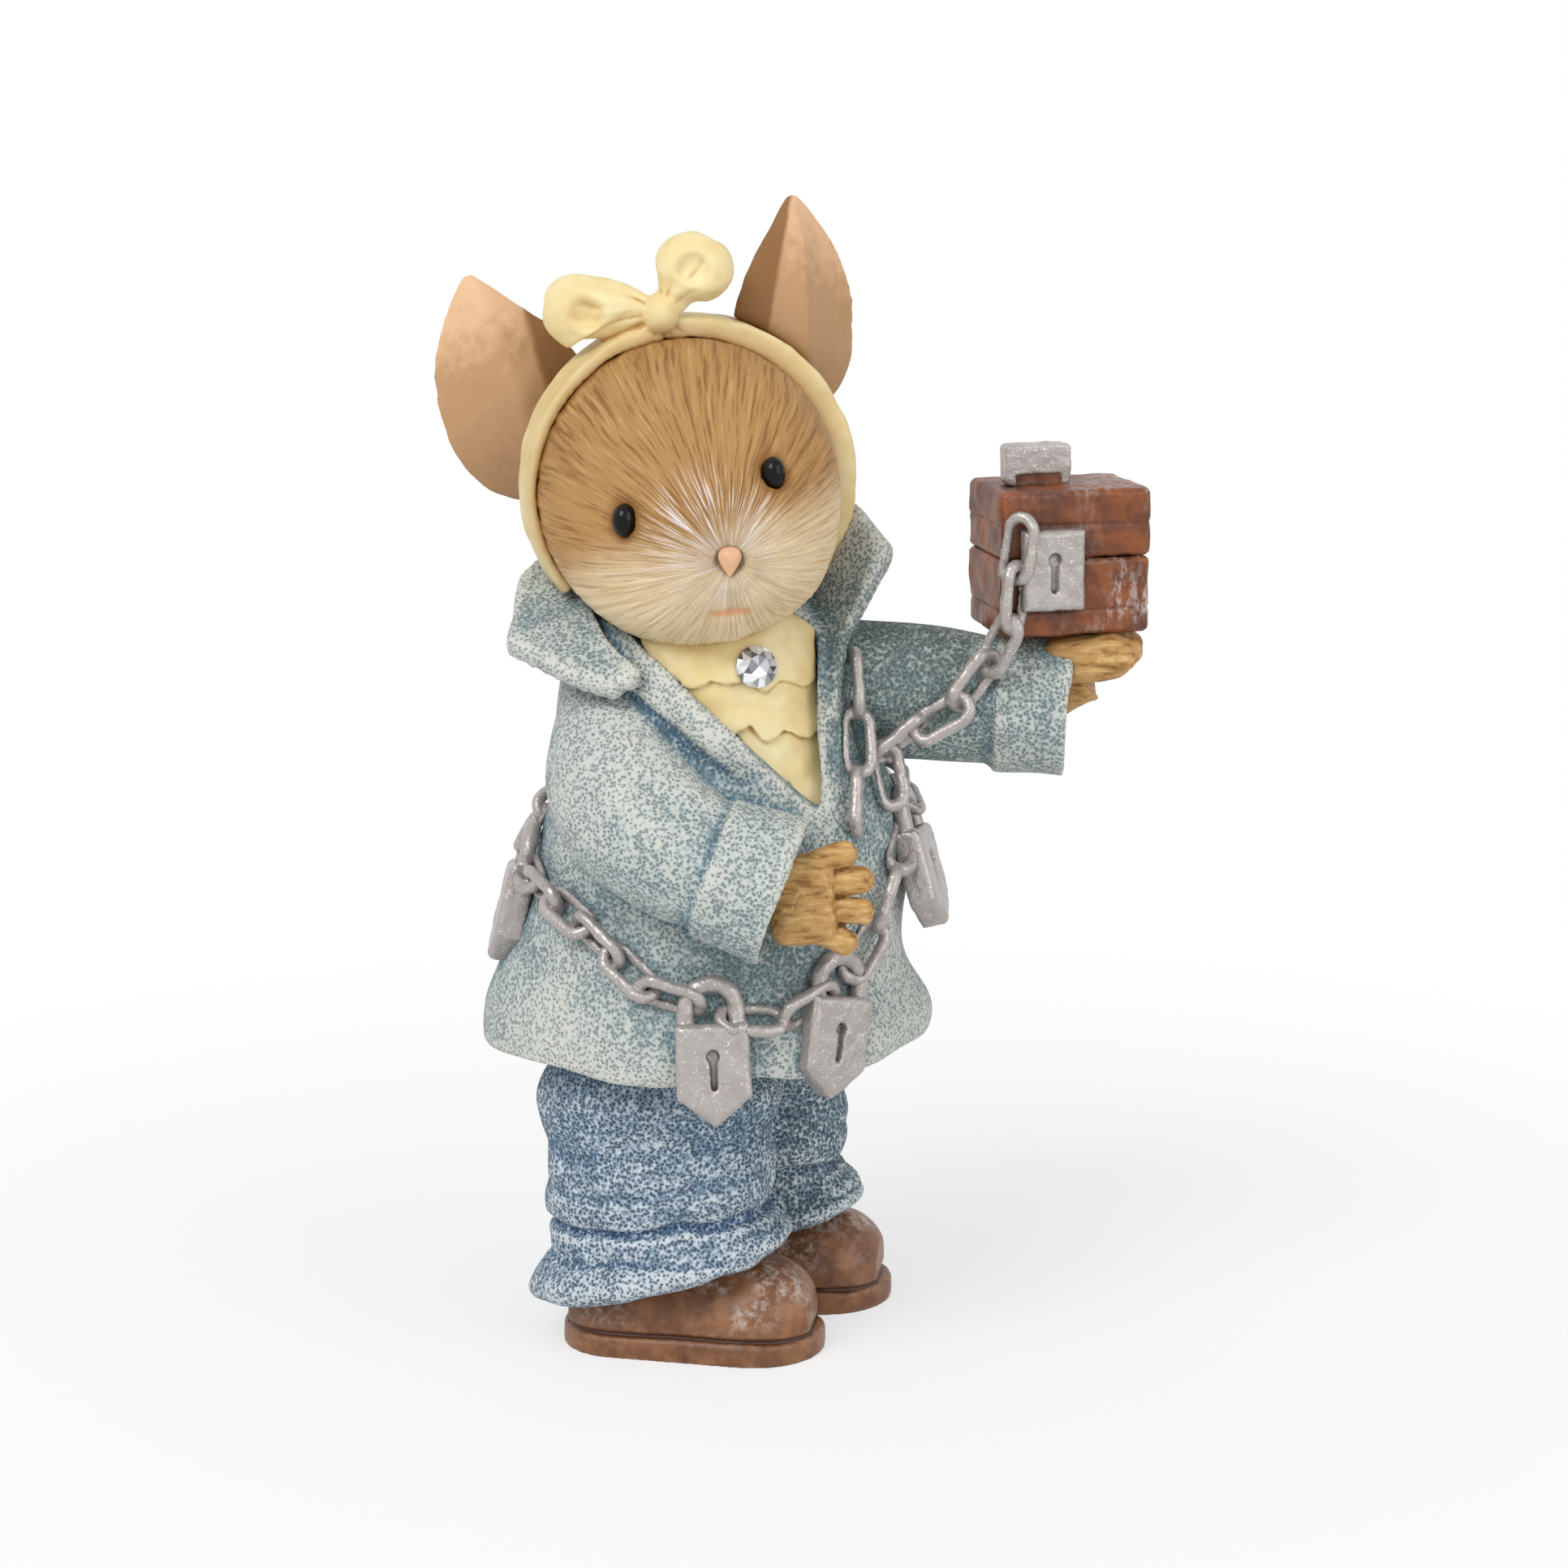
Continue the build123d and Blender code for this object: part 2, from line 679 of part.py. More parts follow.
right_leg = right_leg + hips[0]
left_leg = left_leg + hips[1]
right_upper = cut_by(right_foot_frame * shoe_upper(), [right_leg])
left_upper = cut_by(left_foot_frame * shoe_upper(), [left_leg, right_leg, right_upper])
for socket in hip_sockets:
    coat = coat - socket

# Sleeves bed in the coat, the collar in coat, head and band
right_sleeve = cut_by(right_sleeve, [coat, shirt, head, right_socket])
left_sleeve = cut_by(left_sleeve, [coat, left_socket])
right_cuff = cut_by(right_cuff, [coat, shirt, right_socket])
left_cuff = cut_by(left_cuff, [left_socket])
right_hand = cut_by(right_hand + right_peg, [coat, right_cuff, right_sleeve])
band = cut_by(band, [head])
coat_collar = cut_by(collar(), [coat, shirt, head, band, right_sleeve, left_sleeve])
knot = cut_by(knot, [band, head])
bow_right = cut_by(bow_right, [knot, band, head])
bow_left = cut_by(bow_left, [knot, band, head])

# Ears are pegged into the head behind the band
ears = []
for piece, root in [(right_ear, Vector(-11.6, 3.6, 67.6)), (left_ear, Vector(6.0, 5.0, 71.8))]:
    piece = cut_by(piece, [head, band, bow_left, bow_right])
    inward = (head_at + Vector(0, 4.5, 0) - root).normalized()
    peg_end = root + inward * peg_depth
    socket = rod(root, peg_end + inward * glue_gap, peg_radius + glue_gap)
    ears.append(piece + rod(root, peg_end, peg_radius))
    head = head - socket
    band = band - socket
for bead in eyes + [nose]:
    head = head - bead
head = largest(head) + neck

# Crystal in a cone seat in the shirt
stone_at, stone_normal = front_hit([shirt], 3.2, 52.6)
stone_frame = Plane(origin=stone_at + stone_normal * 0.15, x_dir=(1, 0, 0.01), z_dir=stone_normal)
girdle = RegularPolygon(crystal_radius, 8)
table = Pos(0, 0, crystal_crown) * RegularPolygon(crystal_table * crystal_radius, 8)
culet = Pos(0, 0, -crystal_pavilion) * RegularPolygon(0.1 * crystal_radius, 8)
crown = loft([girdle, table], ruled=True)
pavilion = loft([culet, girdle], ruled=True)
crystal = stone_frame * (crown + pavilion)
shirt = largest(shirt - crystal)

# Waist chain: a closed loop with a padlock hung at the front, the hip and each side
waist_line = [
    # angle round the coat, height
    (-90, 28.8),
    (-78, 27.9),
    (-66, 28.1),
    (-49, 29.8),
    (-36, 32.6),
    (-24, 37.4),
    (-5, 40.4),
    (45, 41.5),
    (90, 41.5),
    (135, 40.4),
    (165, 38.6),
    (184, 36.9),
    (215, 35.2),
    (236, 32.9),
    (255, 29.9),
]
waist_points = []
for angle, height in waist_line:
    waist_points.append(round_hit(coat, angle, height)[0])
waist_path = Spline(*waist_points, periodic=True)


def waist_surface(at, share=0):
    """The coat under a point of the waist line."""
    angle = Vector(1, 0, 0).get_signed_angle(Vector(at.X, at.Y, 0), Vector(0, 0, 1))
    return round_hit(coat, angle, at.Z)


padlock_places = [("front", -90, 2), ("hip", -48, -12), ("left", -8, -6), ("right", 182, 8)]
padlocks = {}
shackles = {}
stops = []
for name, angle, swing in padlock_places:
    stop = stop_at(waist_path, angle)
    stops.append(stop)
    at = waist_path.position_at(stop, position_mode=PositionMode.LENGTH)
    point, normal = waist_surface(at)
    hang = Plane(
        origin=point + normal * link_lift,
        x_dir=Vector(0, 0, 1).cross(normal),
        z_dir=normal,
    )
    bow = hang * Rot(0, 0, swing) * shackle()
    padlocks[name] = cut_by(hang * Rot(0, 0, swing) * padlock_body(), [coat, bow])
    shackles[name] = cut_by(bow, [coat])

stops.sort()
first_gap = half_bow + half_link - link_play
fittings = list(shackles.values()) + list(padlocks.values())
waist_links = []
for start, end in zip(stops, stops[1:] + [stops[0] + waist_path.length]):
    stations = [s % waist_path.length for s in spread(start, end, first_gap)]
    waist_links += laid_chain(waist_path, stations, waist_surface, fittings)

# Two more strands: down the lapel, and from the waist over the arm to the chest


lapel_line = [(-17, 52.0), (-25, 48.0), (-33, 44.2), (-40, 40.8)]
lapel_course = [round_hit(coat, angle, height) for angle, height in lapel_line]
lapel_links = hung_chain(lapel_course, [coat_collar, left_sleeve, right_hand] + waist_links)

arm_course = []
for angle, height in [(-21, 41.8), (-19, 44.6)]:
    point, normal = round_hit(coat, angle, height)
    arm_course.append((point + normal * slack_lift, normal))
for x, rise in [(13.4, -0.42), (16.4, -0.13), (19.2, 0.42)]:
    out = Vector(0, -cos(rise), sin(rise))
    middle = Vector(x, left_line[1].Y, left_line[1].Z)
    arm_course.append((middle + out * (sleeve_radius + slack_lift / 2), out))
for x, z in [(-0.46, 0.12), (-0.43, 0.42), (-0.38, 0.8)]:
    point = Vector(x * chest_width, -chest_depth / 2, z * chest_height)
    arm_course.append((chest_frame.from_local_coords(point), chest_frame.y_dir * -1))
arm_bed = [left_sleeve, chest_box, chest_lid, lock_plate]
arm_links = hung_chain(arm_course, arm_bed + waist_links + lapel_links)

nodes = {
    "head": [head],
    "right_ear": [ears[0]],
    "left_ear": [ears[1]],
    "right_eye": [eyes[0]],
    "left_eye": [eyes[1]],
    "nose": [nose],
    "headband": [band],
    "bow_knot": [knot],
    "bow_right_loop": [bow_right],
    "bow_left_loop": [bow_left],
    "shirt_front": [shirt],
    "crystal": [crystal],
    "coat_body": [coat],
    "collar": [coat_collar],
    "right_sleeve": [right_sleeve],
    "right_cuff": [right_cuff],
    "right_hand": [right_hand],
    "left_sleeve": [left_sleeve],
    "left_cuff": [left_cuff],
    "left_hand": [left_hand],
    "right_leg": [right_leg],
    "left_leg": [left_leg],
    "right_shoe_upper": [right_upper],
    "left_shoe_upper": [left_upper],
    "right_shoe_sole": [right_sole],
    "left_shoe_sole": [left_sole],
    "chest_box": [chest_box],
    "chest_lid": [chest_lid],
    "chest_handle": [strap],
    "chest_lock": [lock_plate],
    "waist_chain": waist_links,
    "lapel_chain": lapel_links,
    "arm_chain": arm_links,
}
for name, angle, swing in padlock_places:
    nodes[name + "_padlock"] = [padlocks[name]]
    nodes[name + "_shackle"] = [shackles[name]]

everything = [Compound(piece.wrapped) for pieces in nodes.values() for piece in pieces]
box = Compound(children=everything).bounding_box()
centre = Pos(-(box.min.X + box.max.X) / 2, -(box.min.Y + box.max.Y) / 2, -box.min.Z)
os.makedirs("parts", exist_ok=True)
for name, pieces in nodes.items():
    solids = []
    for piece in pieces:
        solids += (centre * piece).solids()
    export_step(Compound(children=solids), "parts/" + name + ".step")
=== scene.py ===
import math

import bmesh
import bpy
import numpy as np
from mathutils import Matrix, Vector
from mathutils.bvhtree import BVHTree


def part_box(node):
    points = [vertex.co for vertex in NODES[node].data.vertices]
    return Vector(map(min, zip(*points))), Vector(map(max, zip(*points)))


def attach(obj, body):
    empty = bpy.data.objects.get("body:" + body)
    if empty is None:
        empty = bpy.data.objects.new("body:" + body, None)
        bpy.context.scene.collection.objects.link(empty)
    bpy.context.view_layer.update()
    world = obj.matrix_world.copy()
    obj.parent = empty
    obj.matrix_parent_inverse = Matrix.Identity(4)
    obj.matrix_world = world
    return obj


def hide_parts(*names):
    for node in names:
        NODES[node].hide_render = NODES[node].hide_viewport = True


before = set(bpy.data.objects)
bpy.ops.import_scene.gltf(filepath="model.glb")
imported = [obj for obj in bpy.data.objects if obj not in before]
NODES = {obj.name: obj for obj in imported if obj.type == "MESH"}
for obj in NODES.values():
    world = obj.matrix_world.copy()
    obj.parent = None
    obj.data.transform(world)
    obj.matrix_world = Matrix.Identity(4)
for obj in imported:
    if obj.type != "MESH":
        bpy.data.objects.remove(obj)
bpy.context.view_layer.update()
MM = 1000.0

# Rounds of softening that tell fine creases and broad hollows from their surroundings
CREASE_ROUNDS = 6
HOLLOW_ROUNDS = 40
# Millimetres over which painted shade darkens the paint towards a neighbouring piece
SEAM_REACH = 0.5
SEAM_LIMIT = 3.0


def mid(node):
    lo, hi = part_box(node)
    return np.array((lo + hi) / 2) * MM


# Meshes are worked on in millimetres, as arrays of vertices and quads.

def triangles(names):
    verts, faces, base = [], [], 0
    for name in names:
        me = NODES[name].data
        me.calc_loop_triangles()
        co = np.empty(len(me.vertices) * 3, np.float32)
        me.vertices.foreach_get("co", co)
        tri = np.empty(len(me.loop_triangles) * 3, np.int32)
        me.loop_triangles.foreach_get("vertices", tri)
        verts.append(co.reshape(-1, 3) * MM)
        faces.append(tri.reshape(-1, 3) + base)
        base += len(me.vertices)
    return np.vstack(verts), np.vstack(faces)


def mesh_from(name, verts, faces):
    me = bpy.data.meshes.new(name)
    sides = faces.shape[1]
    me.vertices.add(len(verts))
    me.vertices.foreach_set("co", np.asarray(verts, np.float32).ravel())
    me.loops.add(faces.size)
    me.loops.foreach_set("vertex_index", faces.astype(np.int32).ravel())
    me.polygons.add(len(faces))
    me.polygons.foreach_set("loop_start", np.arange(0, faces.size, sides, dtype=np.int32))
    me.update(calc_edges=True)
    return me


def arrays_of(me):
    co = np.empty(len(me.vertices) * 3, np.float32)
    me.vertices.foreach_get("co", co)
    idx = np.empty(len(me.loops), np.int32)
    me.loops.foreach_get("vertex_index", idx)
    return co.reshape(-1, 3).astype(float), idx.reshape(-1, 4)


def remesh(verts, faces, voxel):
    """One closed skin of quads round everything given."""
    ob = bpy.data.objects.new("scratch", mesh_from("scratch", verts, faces))
    bpy.context.scene.collection.objects.link(ob)
    mod = ob.modifiers.new("skin", "REMESH")
    mod.mode = "VOXEL"
    mod.voxel_size = voxel
    mod.adaptivity = 0.0
    seen = ob.evaluated_get(bpy.context.evaluated_depsgraph_get())
    v, q = arrays_of(seen.to_mesh())
    seen.to_mesh_clear()
    bpy.data.objects.remove(ob)
    return v, q


def smooth(v, q, rounds, share=0.5):
    a = q.ravel()
    b = np.roll(q, -1, axis=1).ravel()
    n = len(v)
    count = np.maximum(np.bincount(a, minlength=n), 1)[:, None]
    for _ in range(rounds):
        near = np.stack([np.bincount(a, v[b, k], n) for k in range(3)], 1) / count
        v = v + share * (near - v)
    return v


def normals(v, q):
    f = np.cross(v[q[:, 2]] - v[q[:, 0]], v[q[:, 3]] - v[q[:, 1]])
    out = np.zeros_like(v)
    for k in range(3):
        out[:, k] = sum(np.bincount(q[:, c], f[:, k], len(v)) for c in range(4))
    return out / np.maximum(np.linalg.norm(out, axis=1, keepdims=True), 1e-12)


def lattice(i):
    """A repeatable number from 0 to 1 for whole-number points."""
    h = (i[..., 0] * 374761393 + i[..., 1] * 668265263 + i[..., 2] * 2147483647) & 0xFFFFFFFF
    h = ((h ^ (h >> 13)) * 1274126177) & 0xFFFFFFFF
    return ((h ^ (h >> 16)) & 0xFFFF) / 65535.0


def rough(p, size, octaves=2):
    """Smooth noise from -1 to 1 with features of about that size in millimetres."""
    total, gain = 0.0, 1.0
    for _ in range(octaves):
        x = p / size + 137.0
        i = np.floor(x).astype(np.int64)
        f = x - i
        f = f * f * (3 - 2 * f)
        value = 0.0
        for dx in (0, 1):
            for dy in (0, 1):
                for dz in (0, 1):
                    w = (f[:, 0] if dx else 1 - f[:, 0]) * (f[:, 1] if dy else 1 - f[:, 1])
                    w = w * (f[:, 2] if dz else 1 - f[:, 2])
                    value = value + w * lattice(i + np.array([dx, dy, dz]))
        total = total + gain * (value * 2 - 1)
        gain, size = gain / 2, size / 2
    return total


def step(x, lo, hi):
    t = np.clip((x - lo) / (hi - lo), 0, 1)
    return t * t * (3 - 2 * t)


def seam(v, neighbours):
    """1 where a piece meets its neighbours, falling away over about half a millimetre."""
    if not neighbours:
        return np.zeros(len(v))
    verts, faces = triangles(neighbours)
    tree = BVHTree.FromPolygons(verts.tolist(), faces.tolist())
    found = [tree.find_nearest(p, SEAM_LIMIT)[3] for p in v.tolist()]
    far = np.array([SEAM_LIMIT if d is None else d for d in found])
    return np.exp(-far / SEAM_REACH)


def hull(node, share):
    """The convex hull of a node, drawn in towards its centre."""
    bm = bmesh.new()
    bm.from_mesh(NODES[node].data)
    made = bmesh.ops.convex_hull(bm, input=bm.verts)
    bmesh.ops.delete(bm, geom=made["geom_interior"] + made["geom_unused"], context="VERTS")
    bmesh.ops.triangulate(bm, faces=bm.faces)
    bm.verts.index_update()
    v = np.array([vert.co[:] for vert in bm.verts]) * MM
    faces = np.array([[vert.index for vert in face.verts] for face in bm.faces])
    bm.free()
    return mid(node) + share * (v - mid(node)), faces


def lump(at, turn, size):
    """A small ellipsoid, turned about the upright axis."""
    bm = bmesh.new()
    bmesh.ops.create_icosphere(bm, subdivisions=3, radius=1.0)
    v = np.array([vert.co[:] for vert in bm.verts]) * size
    faces = np.array([[vert.index for vert in face.verts] for face in bm.faces])
    bm.free()
    c, k = math.cos(turn), math.sin(turn)
    return v @ np.array([[c, k, 0], [-k, c, 0], [0, 0, 1]]) + at, faces


def make(name, nodes, voxel, rounds, material, sculpt=None, fields=None, beside=(), cores=()):
    """A cast piece: one skin over the named solids, softened, sculpted and painted."""
    v, q = triangles(nodes)
    for core_v, core_q in cores:
        v, q = np.vstack([v, core_v]), np.vstack([q, core_q + len(v)])
    v, q = remesh(v, q, voxel)
    v = smooth(v, q, rounds)
    if sculpt:
        v = sculpt(v, q)
    n = normals(v, q)
    near = smooth(v, q, CREASE_ROUNDS)
    far = smooth(near, q, HOLLOW_ROUNDS)
    me = mesh_from(name, v / MM, q)
    # Masks for painted shade in fine creases, in broad hollows and where other pieces meet; the
    # crease mask also finds raised edges for wear
    made = {
        "cav": np.einsum("ij,ij->i", near - v, n),
        "hollow": np.einsum("ij,ij->i", far - v, n),
        "seam": seam(v, beside),
    }
    if fields:
        made.update(fields(v, n))
    for key, value in made.items():
        if value.ndim == 1:
            field = me.attributes.new(key, "FLOAT", "POINT")
            field.data.foreach_set("value", value.astype(np.float32))
        else:
            field = me.attributes.new(key, "FLOAT_VECTOR", "POINT")
            field.data.foreach_set("vector", value.astype(np.float32).ravel())
    me.polygons.foreach_set("use_smooth", np.ones(len(me.polygons), bool))
    me.materials.append(material)
    ob = bpy.data.objects.new(name, me)
    bpy.context.scene.collection.objects.link(ob)
    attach(ob, "root")
    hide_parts(*nodes)
    return ob


# Materials

def C(r, g, b):
    def lin(c):
        c = c / 255
        return c / 12.92 if c <= 0.04045 else ((c + 0.055) / 1.055) ** 2.4
    return (lin(r), lin(g), lin(b), 1.0)


class Paint:
    """A paint built from patterns, with lengths in millimetres."""

    def __init__(self, name):
        self.mat = bpy.data.materials.new(name)
        self.mat.use_nodes = True
        self.tree = self.mat.node_tree
        self.tree.nodes.clear()
        out = self.node("ShaderNodeOutputMaterial")
        self.bsdf = self.node("ShaderNodeBsdfPrincipled")
        self.tree.links.new(self.bsdf.outputs[0], out.inputs[0])
        here = self.node("ShaderNodeTexCoord").outputs["Object"]
        self.mm = self.vector("MULTIPLY", here, (MM, MM, MM))

    def node(self, kind, **props):
        made = self.tree.nodes.new(kind)
        for key, value in props.items():
            setattr(made, key, value)
        return made

    def put(self, socket, value):
        if isinstance(value, bpy.types.NodeSocket):
            self.tree.links.new(value, socket)
        else:
            socket.default_value = value

    def vector(self, op, a, b):
        made = self.node("ShaderNodeVectorMath", operation=op)
        self.put(made.inputs[0], a)
        self.put(made.inputs[1], b)
        return made.outputs[0]

    def math(self, op, a, b=0.0, clamp=False):
        made = self.node("ShaderNodeMath", operation=op, use_clamp=clamp)
        self.put(made.inputs[0], a)
        self.put(made.inputs[1], b)
        return made.outputs[0]

    def noise(self, size, detail=2.0, rough=0.55, where=None):
        made = self.node("ShaderNodeTexNoise")
        self.put(made.inputs["Vector"], where or self.mm)
        made.inputs["Scale"].default_value = 1.0 / size
        made.inputs["Detail"].default_value = detail
        made.inputs["Roughness"].default_value = rough
        return made

    def cells(self, size, where=None):
        made = self.node("ShaderNodeTexVoronoi", feature="F1")
        self.put(made.inputs["Vector"], where or self.mm)
        made.inputs["Scale"].default_value = 1.0 / size
        return made.outputs["Distance"]

    def warp(self, size, by):
        """Positions pushed about by noise."""
        off = self.vector("SUBTRACT", self.noise(size, 1).outputs["Color"], (0.5, 0.5, 0.5))
        return self.vector("ADD", self.mm, self.vector("MULTIPLY", off, (by, by, by)))

    def span(self, x, lo, hi):
        """x taken smoothly from lo..hi to 0..1."""
        made = self.node("ShaderNodeMapRange", interpolation_type="SMOOTHSTEP")
        self.put(made.inputs[0], x)
        made.inputs[1].default_value = lo
        made.inputs[2].default_value = hi
        return made.outputs[0]

    def mix(self, share, a, b):
        made = self.node("ShaderNodeMix", data_type="RGBA")
        self.put(made.inputs[0], share)
        self.put(made.inputs[6], a)
        self.put(made.inputs[7], b)
        return made.outputs[2]

    def field(self, name, kind="Fac"):
        return self.node("ShaderNodeAttribute", attribute_name=name).outputs[kind]

    def bump(self, height, depth):
        made = self.node("ShaderNodeBump")
        made.inputs["Distance"].default_value = depth / MM
        made.inputs["Strength"].default_value = 1.0
        self.put(made.inputs["Height"], height)
        return made.outputs[0]

    def done(self, colour, roughness=0.6, normal=None, specular=0.3, metallic=0.0):
        self.put(self.bsdf.inputs["Base Color"], colour)
        self.put(self.bsdf.inputs["Roughness"], roughness)
        self.put(self.bsdf.inputs["Metallic"], metallic)
        self.bsdf.inputs["Specular IOR Level"].default_value = specular
        if normal:
            self.put(self.bsdf.inputs["Normal"], normal)
        return self.mat


def pitted_cloth(name, light, middle, pit, fold_shade, cell, contrast):
    """Porous painted cloth: small dark pits and a network brushed pale, with painted light where
    light falls and painted shade in the folds, creases and hollows and where other pieces meet.
    """
    p = Paint(name)
    where = p.warp(0.5, 0.22)
    swell = p.math("ADD", p.math("MULTIPLY", p.noise(1.4, 1).outputs["Fac"], 0.7), 0.62)
    height = p.math("MULTIPLY", p.cells(cell, where), swell)
    cav = p.field("cav")
    hollow = p.field("hollow")
    patches = p.math("SUBTRACT", p.noise(6.0, 4, 0.6).outputs["Fac"], 0.5)
    # lit is painted light and shade: raised where light falls, lowered as painted shade in hollows,
    # creases and where other pieces meet, and varied at random in large soft patches
    lit = p.math("ADD", p.math("MULTIPLY", patches, 1.2), p.field("painted_light_and_shade"))
    lit = p.math("SUBTRACT", lit, p.math("MULTIPLY", hollow, 0.8))
    lit = p.math("SUBTRACT", lit, p.math("MULTIPLY", p.field("seam"), 0.7))
    lit = p.math("SUBTRACT", lit, p.math("MULTIPLY", cav, 7.0), clamp=True)
    raised = p.math("ADD", height, p.math("MULTIPLY", lit, 0.42))
    colour = p.mix(p.math("MULTIPLY", lit, 0.6), middle, light)
    # The fold colour is painted shade in the broad hollows and the fine creases
    colour = p.mix(p.math("MULTIPLY", p.span(hollow, 0.1, 0.8), 0.6), colour, fold_shade)
    colour = p.mix(p.span(cav, 0.01, 0.08), colour, fold_shade)
    # Greenish painted shade where the cloth lies in shadow
    colour = p.mix(p.math("MULTIPLY", p.field("green_shade"), 0.5), colour, C(104, 116, 106))
    # The raised network is brushed pale, and more so where painted light falls
    colour = p.mix(p.math("MULTIPLY", p.span(raised, 0.5, 0.95), contrast), colour, light)
    # The pits are painted paler where light falls, as painted light
    well = p.mix(p.math("MULTIPLY", lit, 0.35), pit, middle)
    colour = p.mix(p.math("MULTIPLY", p.span(height, 0.44, 0.22), contrast), colour, well)
    return p.done(colour, 0.8, p.bump(p.span(height, 0.2, 0.6), 0.06), 0.15)


def fur(name):
    """Fur in fine strands, tawny above and pale below, frosted white round the nose."""
    p = Paint(name)
    lay = p.field("fur", "Vector")
    strands = p.noise(1.0, 3, 0.6, lay).outputs["Fac"]
    locks = p.noise(4.0, 2, 0.6, lay).outputs["Fac"]
    pale = p.field("pale")
    base = p.mix(pale, C(176, 134, 82), C(228, 206, 168))
    dark = p.mix(pale, C(138, 98, 54), C(206, 176, 132))
    bright = p.mix(pale, C(194, 154, 102), C(240, 226, 196))
    colour = p.mix(p.span(strands, 0.34, 0.5), dark, base)
    colour = p.mix(p.span(strands, 0.54, 0.72), colour, bright)
    colour = p.mix(p.math("MULTIPLY", p.span(locks, 0.5, 0.3), 0.35), colour, dark)
    white = p.math("MULTIPLY", p.field("frost"), p.span(strands, 0.51, 0.62))
    colour = p.mix(white, colour, C(236, 226, 224))
    # Painted shade where the fur meets the head band, the eyes and the collar
    rim = p.math("MULTIPLY", p.span(p.field("seam"), 0.12, 0.7), 0.85)
    colour = p.mix(rim, colour, C(138, 92, 40))
    colour = p.mix(p.field("lips"), colour, C(238, 176, 132))
    height = p.math("ADD", strands, p.math("MULTIPLY", locks, 0.5))
    return p.done(colour, 0.6, p.bump(height, 0.15), 0.25)


def ear_paint(name):
    """Tan skin, peach towards the tip, brown in the hollow partly as painted shade, and painted
    shade in the creases and at the root.
    """
    p = Paint(name)
    grain = p.noise(1.1, 4, 0.7).outputs["Fac"]
    out = p.math("ADD", p.field("out"), p.math("MULTIPLY", p.math("SUBTRACT", grain, 0.5), 0.5))
    colour = p.mix(p.span(out, 0.1, 0.6), C(170, 132, 96), C(186, 146, 106))
    colour = p.mix(p.span(out, 0.62, 1.0), colour, C(226, 184, 144))
    shade = p.math("ADD", p.field("inner"), p.math("MULTIPLY", p.math("SUBTRACT", grain, 0.5), 0.6))
    colour = p.mix(p.math("MULTIPLY", p.span(shade, 0.25, 0.8), 0.9), colour, C(128, 88, 46))
    # Painted shade in the creases and where the ear meets the band and the head
    colour = p.mix(p.span(p.field("cav"), 0.008, 0.05), colour, C(118, 82, 44))
    colour = p.mix(p.math("MULTIPLY", p.field("seam"), 0.7), colour, C(112, 76, 36))
    return p.done(colour, 0.55, p.bump(grain, 0.08), 0.25)


def cream(name, edge):
    """Cream cloth with ochre painted shade in the creases and hollows, and darker painted shade
    along its edges where it meets other pieces.
    """
    p = Paint(name)
    soft = p.noise(3.0, 2).outputs["Fac"]
    # The ochre stands for painted shade in the creases and the hollows
    ochre_shade = C(190, 142, 72)
    colour = p.mix(p.span(soft, 0.35, 0.7), C(228, 207, 150), C(238, 224, 176))
    colour = p.mix(p.math("MULTIPLY", p.span(p.field("cav"), 0.004, 0.04), 0.85), colour, ochre_shade)
    colour = p.mix(p.math("MULTIPLY", p.span(p.field("hollow"), 0.1, 0.7), 0.4), colour, ochre_shade)
    # Painted shade along where the cloth meets other pieces; edge is its strength
    line = p.math("POWER", p.field("seam"), 0.7)
    colour = p.mix(p.math("MULTIPLY", line, edge), colour, C(160, 106, 40))
    return p.done(colour, 0.5, p.bump(soft, 0.15), 0.3)


def silver(name):
    """Grey metallic paint with a fine glitter in it, its sparkle painted as white glints, and
    painted shade in creases, hollows and where pieces meet.
    """
    p = Paint(name)
    # Painted glints: white specks that stand for the sparkle of the glitter
    glint = p.span(p.cells(0.2), 0.3, 0.1)
    some = p.span(p.noise(0.5, 2, 0.7).outputs["Fac"], 0.46, 0.62)
    glint = p.math("MULTIPLY", glint, some)
    cloud = p.noise(1.4, 3).outputs["Fac"]
    colour = p.mix(cloud, C(150, 142, 138), C(190, 184, 180))
    # Painted shade in the creases and where other pieces meet, and darkest in the hollows
    colour = p.mix(p.span(p.field("cav"), 0.008, 0.06), colour, C(112, 104, 100))
    colour = p.mix(p.math("MULTIPLY", p.field("seam"), 0.45), colour, C(116, 112, 110))
    colour = p.mix(glint, colour, C(250, 249, 247))
    colour = p.mix(p.span(p.field("hollow"), 0.08, 0.3), colour, C(66, 54, 48))
    height = p.math("ADD", cloud, p.math("MULTIPLY", some, 0.12))
    return p.done(colour, 0.33, p.bump(height, 0.14), 0.6, 0.4)


